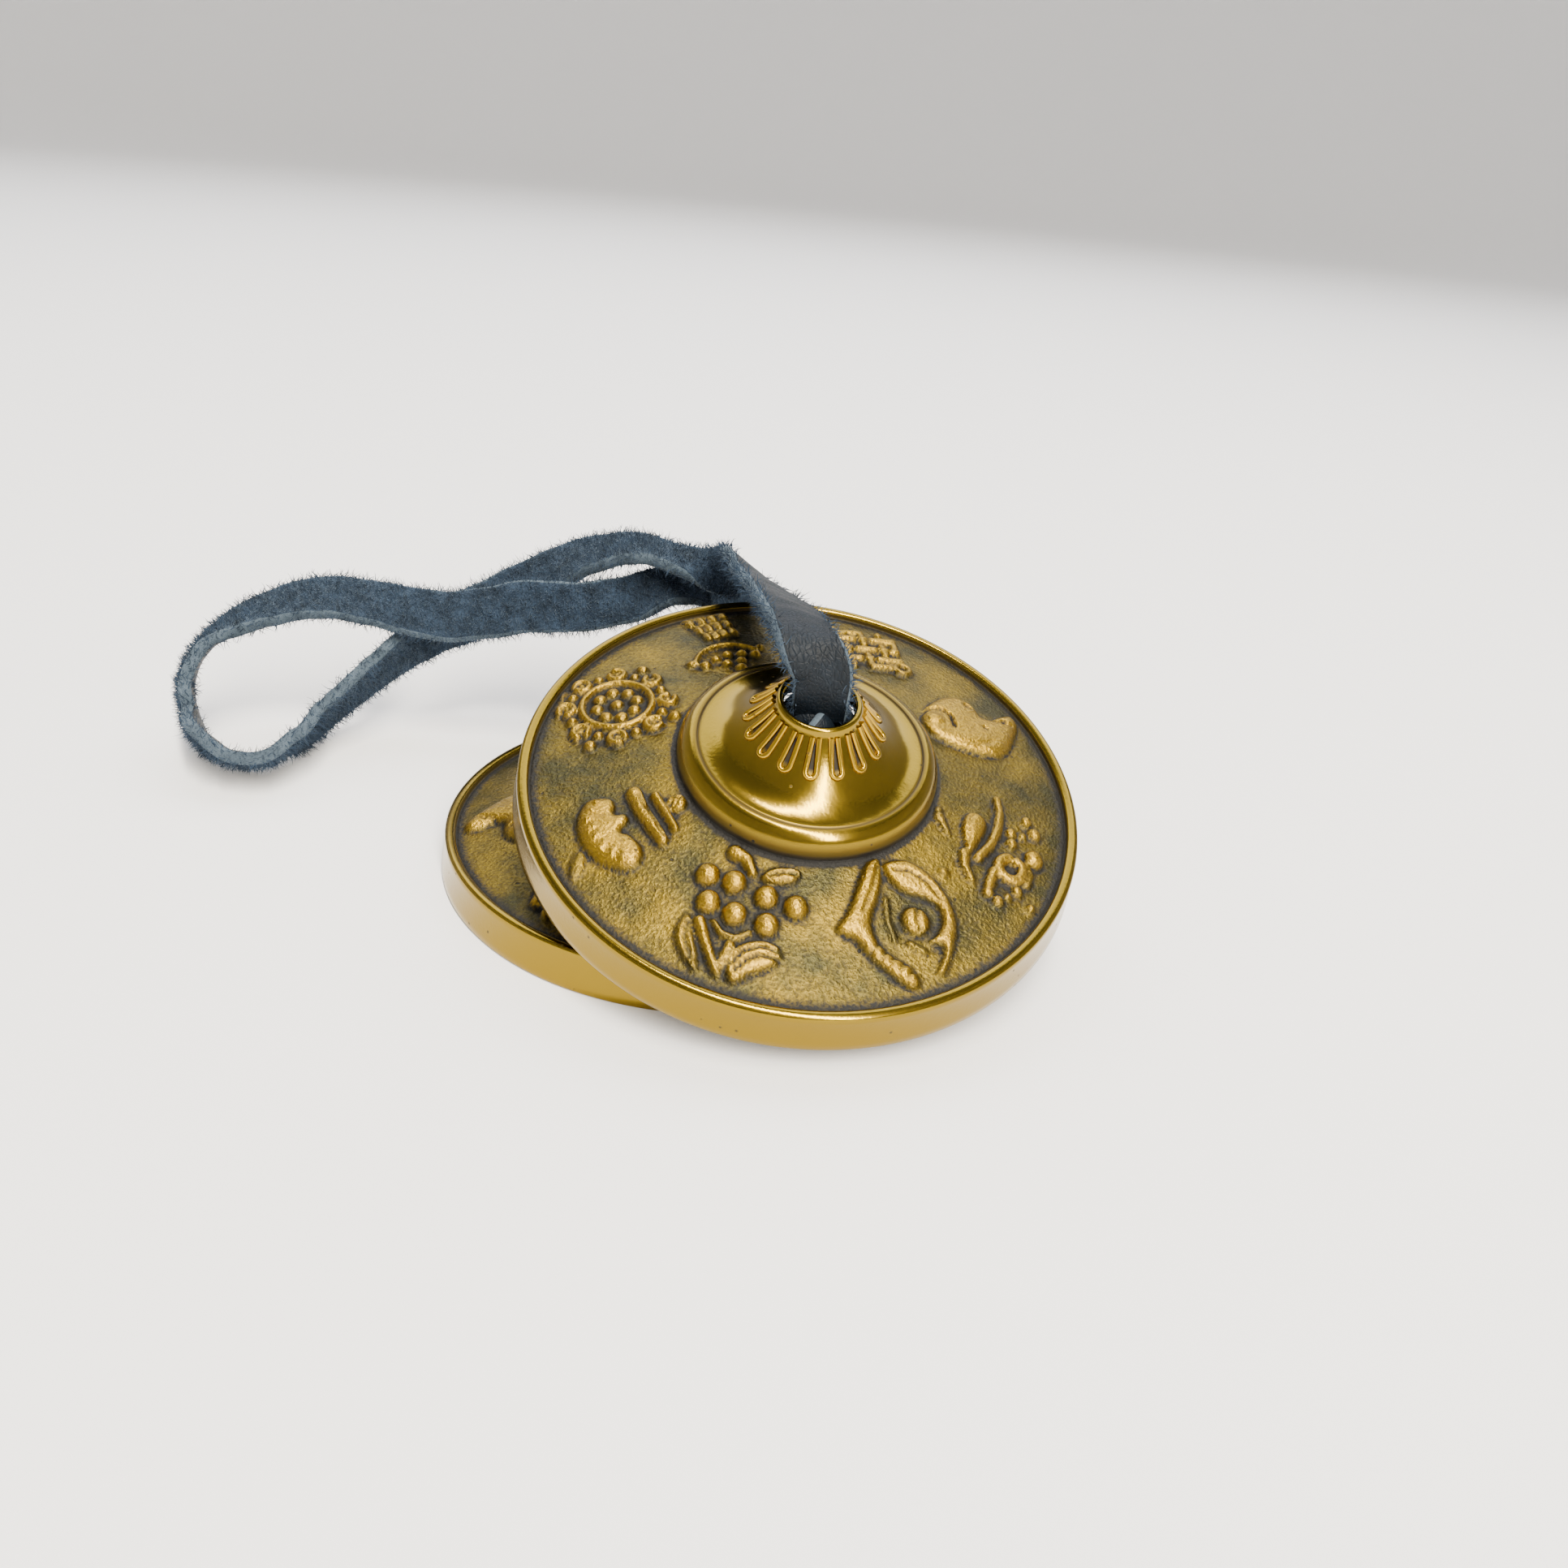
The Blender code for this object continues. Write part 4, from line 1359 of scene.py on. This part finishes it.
@dataclass
class StrapRun:
    """One run of the flat strap, from its cymbal's knot to the loop's far end."""

    name: str
    path: SmoothPath
    from_place: float
    to_place: float
    leathers: dict[LeatherFace, bpy.types.Material]
    thickness: float = 0.0018
    along_spacing: float = 0.00045
    across_cells: int = 16
    corner: float = 0.00035
    fibre_density: float = 11.0e6
    fibre_length: float = 0.0012
    fibre_thickness: float = 0.00007
    seed: int = 5

    def section(self, half: float) -> list[tuple[float, float, LeatherFace]]:
        """The band's cross-section: right share, height share and face, once round."""
        flat = np.linspace(-1.0, 1.0, self.across_cells + 1)
        rim = 1.0 - self.corner / half
        ring = [(float(x * rim), 1.0, LeatherFace.GRAIN) for x in flat]
        ring += [(1.0 - 0.3 * self.corner / half, 0.72, LeatherFace.CUT), (1.0, 0.25, LeatherFace.CUT)]
        ring += [(1.0, -0.3, LeatherFace.CUT), (1.0 - 0.3 * self.corner / half, -0.75, LeatherFace.CUT)]
        ring += [(float(-x * rim), -1.0, LeatherFace.SUEDE) for x in flat]
        ring += [(-1.0 + 0.3 * self.corner / half, -0.75, LeatherFace.CUT), (-1.0, -0.3, LeatherFace.CUT)]
        ring += [(-1.0, 0.25, LeatherFace.CUT), (-1.0 + 0.3 * self.corner / half, 0.72, LeatherFace.CUT)]
        return ring

    def band(self) -> bpy.types.Mesh:
        """The band itself: a closed skin with a UV map in millimetres."""
        count = round((self.to_place - self.from_place) / self.along_spacing)
        places = np.linspace(self.from_place, self.to_place, count + 1)
        centres, right, up, widths = self.path.frames(places)
        ring = self.section(float(widths.mean()) / 2)
        shape = bmesh.new()
        loops = []
        for k in range(count + 1):
            row = []
            for share, level, face in ring:
                ripple = self.ripple(places[k], share)
                side = share * (widths[k] / 2) * (1.0 + 0.018 * math.sin(places[k] * 910.0 + share * 2.0))
                lift = (
                    level * self.thickness / 2 + ripple - (0.00010
                    * level if face is LeatherFace.CUT else 0.0)
                )
                row.append(shape.verts.new(centres[k] + right[k] * side + up[k] * lift))
            loops.append(row)
        layer = shape.loops.layers.uv.new("strap")
        size = len(ring)
        order = list(LeatherFace)
        around_mm = [0.0]
        for (x0, y0, _), (x1, y1, _) in zip(ring, ring[1:] + ring[:1]):
            around_mm.append(around_mm[-1] + math.hypot((x1 - x0) * 4.0, (y1 - y0) * 0.9))
        for k in range(count):
            for n in range(size):
                m = (n + 1) % size
                quad = [loops[k][n], loops[k + 1][n], loops[k + 1][m], loops[k][m]]
                face = shape.faces.new(quad)
                kinds = {ring[n][2], ring[m][2]}
                kind = LeatherFace.CUT if LeatherFace.CUT in kinds else ring[n][2]
                face.material_index = order.index(kind)
                face.smooth = True
                spots = [(k, n), (k + 1, n), (k + 1, n + 1), (k, n + 1)]
                for loop, (row, column) in zip(face.loops, spots):
                    loop[layer].uv = (float(places[row]) / MM, around_mm[column])
        for row in (loops[0], loops[-1]):
            cap = shape.faces.new(row)
            cap.material_index = order.index(LeatherFace.CUT)
        bmesh.ops.recalc_face_normals(shape, faces=shape.faces)
        if shape.calc_volume(signed=True) < 0:
            bmesh.ops.reverse_faces(shape, faces=shape.faces)
        mesh = bpy.data.meshes.new(self.name)
        shape.to_mesh(mesh)
        shape.free()
        for kind in order:
            mesh.materials.append(self.leathers[kind])
        return mesh

    def ripple(self, place: float, share: float) -> float:
        """Small rise of the leather where it was bent and kneaded, in metres."""
        wave = math.sin(place * 700.0 + 3.0 * share) * math.sin(place * 310.0 - 1.7 * share + 1.0)
        return 0.00006 * wave + 0.00004 * math.sin(place * 1600.0 + 5.0 * share * share)

    def nap(self, band: bpy.types.Mesh) -> bpy.types.Mesh:
        """Loose fibres on the suede side and the cut edges of the band."""
        source = band.copy()
        weights = {0: 0.0, 1: 1.0, 2: 0.55}
        weight = np.zeros(len(source.vertices), dtype=np.float32)
        for polygon in source.polygons:
            for vertex in polygon.vertices:
                weight[vertex] = max(weight[vertex], weights[polygon.material_index])
        set_attribute(source, "nap", weight)
        values = {
            "Density": self.fibre_density,
            "Length": self.fibre_length,
            "Thickness": self.fibre_thickness,
            "Seed": self.seed,
            "Material": self.leathers[LeatherFace.SUEDE],
        }
        mesh = grow(f"{self.name}_nap", source, nap_tree(), values)
        spots = vertex_array(mesh)
        spots[:, 2] = np.maximum(spots[:, 2], TABLE_CLEARANCE)
        mesh.vertices.foreach_set("co", spots.astype(np.float32).ravel())
        self.flat_uv(mesh)
        return mesh

    @staticmethod
    def flat_uv(mesh: bpy.types.Mesh) -> None:
        """Gives fibres a UV map in millimetres from their own place."""
        for name in [layer.name for layer in mesh.uv_layers]:
            mesh.uv_layers.remove(mesh.uv_layers[name])
        layer = mesh.uv_layers.new(name="strap")
        spots = vertex_array(mesh)[:, [0, 2]] / MM
        corners = np.empty(len(mesh.loops), dtype=np.int32)
        mesh.loops.foreach_get("vertex_index", corners)
        layer.data.foreach_set("uv", spots[corners].astype(np.float32).ravel())

    def middle_line(self) -> list[Point3]:
        """Points on the run's middle line, close enough to carry its length."""
        count = round((self.to_place - self.from_place) / 0.0015)
        places = np.linspace(self.from_place, self.to_place, count + 1)
        return [tuple(float(c) for c in point) for point in self.path.read(self.path.points, places)]

    def build(self) -> tuple[bpy.types.Object, bpy.types.Object]:
        """Builds the band and its nap as two pieces."""
        mesh = self.band()
        fibres = self.nap(mesh)
        return link_mesh(self.name, mesh), link_mesh(f"{self.name}_nap", fibres)


@dataclass
class StrapKnot:
    """An overhand knot in the strap's end, drawn tight under the boss's hole."""

    name: str
    to_world: Matrix
    leathers: dict[LeatherFace, bpy.types.Material]
    height: float = 0.0128
    reach: float = 0.0054
    half_height: float = 0.0034
    width: float = 0.0064
    thickness: float = 0.0016

    def line(self) -> np.ndarray:
        """The knot's middle line: an open trefoil, flattened to fit the boss."""
        turn = np.linspace(0.42, math.tau + 0.10, 120)
        x = np.sin(turn) + 2.0 * np.sin(2.0 * turn)
        y = np.cos(turn) - 2.0 * np.cos(2.0 * turn)
        z = -np.sin(3.0 * turn)
        narrow = self.reach - self.thickness * 0.7
        points = np.stack([x / 3.0 * narrow, y / 3.0 * narrow, z * (self.half_height - 0.0014)], axis=1)
        points[:, 2] += self.height
        return points

    def mesh(self) -> bpy.types.Mesh:
        """The knotted band as one closed skin."""
        points = self.line()
        ahead = unit_rows(np.gradient(points, axis=0))
        axis = np.array([0.0, 0.0, self.height])
        outward = unit_rows(points - axis + np.array([0.0, 0.0, 1e-5]))
        right = unit_rows(np.cross(ahead, outward))
        up = np.cross(right, ahead)
        shape = bmesh.new()
        size = 20
        loops = []
        for k in range(len(points)):
            row = []
            for n in range(size):
                a = math.tau * n / size
                wide = math.copysign(abs(math.cos(a)) ** 0.55, math.cos(a)) * self.width / 2
                tall = math.copysign(abs(math.sin(a)) ** 0.7, math.sin(a)) * self.thickness / 2
                curl = -0.22 * (wide / self.width) ** 2 * self.width
                row.append(shape.verts.new(points[k] + right[k] * wide + up[k] * (tall + curl)))
            loops.append(row)
        layer = shape.loops.layers.uv.new("strap")
        for k in range(len(points) - 1):
            for n in range(size):
                m = (n + 1) % size
                face = shape.faces.new([loops[k][n], loops[k + 1][n], loops[k + 1][m], loops[k][m]])
                face.smooth = True
                middle = (n + 0.5) / size
                on_edge = min(abs(middle - 0.5), middle, 1.0 - middle) < 0.09
                face.material_index = 2 if on_edge else (0 if middle < 0.5 else 1)
                for loop, (row, column) in zip(face.loops,
                    [(k, n), (k + 1, n), (k + 1, n + 1), (k, n + 1)]):
                    loop[layer].uv = (row * 0.35, column * 0.6)
        for row in (loops[0], loops[-1]):
            shape.faces.new(row).material_index = 2
        bmesh.ops.recalc_face_normals(shape, faces=shape.faces)
        if shape.calc_volume(signed=True) < 0:
            bmesh.ops.reverse_faces(shape, faces=shape.faces)
        mesh = bpy.data.meshes.new(self.name)
        shape.to_mesh(mesh)
        shape.free()
        for kind in LeatherFace:
            mesh.materials.append(self.leathers[kind])
        mesh.transform(self.to_world)
        return mesh


@dataclass
class Strap:
    """The leather strap: two runs, their nap and the two knots."""

    lower_hole: Vector
    upper_hole: Vector
    lower_place: Matrix
    upper_place: Matrix
    width: float = 0.008
    upper_length: float = 0.164
    lower_length: float = 0.140
    run_gap: float = 0.0

    def leathers(self) -> dict[LeatherFace, bpy.types.Material]:
        """The three finishes of the hide."""
        return {
            LeatherFace.GRAIN: DyedLeather(LeatherFace.GRAIN, "#04080c", "#0f1923", 0.46, 0.0, 0.3,
                0.12).build(),
            LeatherFace.SUEDE: DyedLeather(LeatherFace.SUEDE, "#0f161e", "#36465a", 0.95, 0.35, 0.26,
                0.45).build(),
            LeatherFace.CUT: DyedLeather(LeatherFace.CUT, "#27313b", "#5a6874", 0.9, 0.25, 0.18,
                0.2).build(),
        }

    def build(self) -> list[bpy.types.Object]:
        """Builds every piece of the strap and ties the knots to their bodies; the bands and their nap stay
        unparented.
        """
        leathers = self.leathers()
        path = SmoothPath.through(UPPER_ROUTE, LOWER_ROUTE)
        pieces = []
        runs = (
            ("upper", 0.0, path.loop_end - self.run_gap / 2, self.upper_hole, self.upper_place,
                self.upper_length),
            (
                "lower",
                path.loop_end + self.run_gap / 2,
                float(path.chords.sum()),
                self.lower_hole,
                self.lower_place,
                self.lower_length,
            ),
        )
        for side, start, end, hole, place, length in runs:
            run = StrapRun(f"strap_{side}_band", path, start, end, leathers)
            band, nap = run.build()
            knot = link_mesh(f"strap_{side}_knot", StrapKnot(f"strap_{side}_knot", place, leathers).mesh())
            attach(knot, "upper_knot" if side == "upper" else "lower_strap")
            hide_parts(f"{side}_knot")
            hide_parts(f"strap_{side}_run")
            for piece in (band, nap):
                if side == "upper":
                    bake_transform(piece)
                else:
                    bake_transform(piece)
            run.middle_line()
            pieces += [band, nap, knot]
        return pieces


# ---------------------------------------------------------------------------------------
# Stage
# ---------------------------------------------------------------------------------------


@dataclass(frozen=True)
class Studio:
    """White paper sweep, soft lights and the camera."""

    target: Point3 = (0.0039, 0.02583, 0.0)
    distance: float = 0.1861
    elevation_deg: float = 27.93
    roll_deg: float = 5.45
    lens_mm: float = 27.95
    sensor_mm: float = 36.0
    sweep_half: float = 3.0
    sweep_radius: float = 1.2

    def camera(self) -> bpy.types.Object:
        """Stands the camera low in front, turned a little about its own line of sight."""
        data = bpy.data.cameras.new("camera")
        data.lens = self.lens_mm
        data.sensor_width = self.sensor_mm
        data.clip_start = 0.005
        data.clip_end = 50.0
        camera = bpy.data.objects.new("camera", data)
        bpy.context.scene.collection.objects.link(camera)
        lift, roll = math.radians(self.elevation_deg), math.radians(self.roll_deg)
        back = Vector((0.0, -math.cos(lift), math.sin(lift)))
        across, upright = Vector((1.0, 0.0, 0.0)), Vector((0.0, math.sin(lift), math.cos(lift)))
        right = across * math.cos(roll) + upright * math.sin(roll)
        top = upright * math.cos(roll) - across * math.sin(roll)
        facing = Matrix((right, top, back)).transposed().to_4x4()
        camera.matrix_world = Matrix.Translation(Vector(self.target) + back * self.distance) @ facing
        bpy.context.scene.camera = camera
        return camera

    def sweep(self) -> bpy.types.Object:
        """The paper: a floor that curves up into walls far round the object."""
        mesh = bpy.data.meshes.new("paper_sweep")
        shape = bmesh.new()
        section = [(0.0, 0.0), (0.3, 0.0), (self.sweep_half - self.sweep_radius, 0.0)]
        for k in range(1, 13):
            a = math.radians(90.0 * k / 12.0)
            section.append(
                (self.sweep_half - self.sweep_radius * (1.0 - math.sin(a)),
                    self.sweep_radius * (1.0 - math.cos(a)))
            )
        section.append((self.sweep_half, 4.0))
        verts = [shape.verts.new((r, 0.0, z)) for r, z in section]
        edges = [shape.edges.new(pair) for pair in zip(verts, verts[1:])]
        bmesh.ops.spin(
            shape,
            geom=verts + edges,
            angle=math.tau,
            steps=64,
            axis=(0, 0, 1),
            cent=(0, 0, 0),
            use_merge=True,
        )
        bmesh.ops.remove_doubles(shape, verts=shape.verts, dist=1e-5)
        bmesh.ops.recalc_face_normals(shape, faces=shape.faces)
        shape.to_mesh(mesh)
        shape.free()
        mesh.shade_smooth()
        mesh.materials.append(MattPaper().build())
        paper = link_mesh("paper_sweep", mesh)
        paper.location = (0.0, 0.0, -0.00005)
        return paper

    def lamp(self, name: str, size: Point2, watts: float, place: Point3, colour: str = "#ffffff") -> None:
        """Hangs one soft box that faces the object."""
        data = bpy.data.lights.new(name, "AREA")
        data.shape = "RECTANGLE"
        data.size, data.size_y = size
        data.energy = watts
        data.color = linear(colour)[:3]
        lamp = bpy.data.objects.new(name, data)
        bpy.context.scene.collection.objects.link(lamp)
        lamp.location = place
        lamp.rotation_euler = (Vector((0.0, 0.0, 0.01)) - Vector(place)).to_track_quat("-Z", "Y").to_euler()

    def light(self) -> None:
        """A tall narrow soft box in front, a wide one above the back, and pale air."""
        self.lamp("tall_box", (0.12, 1.8), 66.0, (0.30, -0.60, 1.0), "#fff6e6")
        self.lamp("overhead", (1.6, 0.8), 16.0, (0.0, 0.75, 0.95), "#f4f7ff")
        world = bpy.data.worlds.new("pale_air")
        bpy.context.scene.world = world
        world.use_nodes = True
        background = world.node_tree.nodes["Background"]
        background.inputs["Color"].default_value = linear("#dfe3ea")
        background.inputs["Strength"].default_value = 0.45


# ---------------------------------------------------------------------------------------
# The whole object
# ---------------------------------------------------------------------------------------


def main() -> None:
    """Loads the frame, then builds the camera, the strap, the cymbals and the lights."""
    logging.basicConfig(level=logging.INFO, format="%(name)s: %(message)s")
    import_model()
    studio = Studio()
    studio.camera()

    lean = math.radians(-77.3)
    tilt = Matrix.Rotation(math.radians(18.8), 4, Vector((-math.sin(lean), math.cos(lean), 0.0)))
    brass = CastBrass().build()
    lower = Cymbal("lower_cymbal", Vector((-0.00575, 0.0039, 0.0)), Matrix.Identity(4), 60.0, brass)
    upper = Cymbal("upper_cymbal", Vector((0.00585, -0.0046, 0.0132)), tilt, -103.0, brass)
    hole = Vector((0.0, 0.0, lower.hole_height * MM))
    strap = Strap(lower.to_world() @ hole, upper.to_world() @ hole, lower.to_world(), upper.to_world())

    for piece in strap.build() + lower.build() + upper.build():
        LOG.info("%s: %d faces", piece.name, len(piece.data.polygons))
    studio.sweep()
    studio.light()


if __name__ == "__main__":
    main()
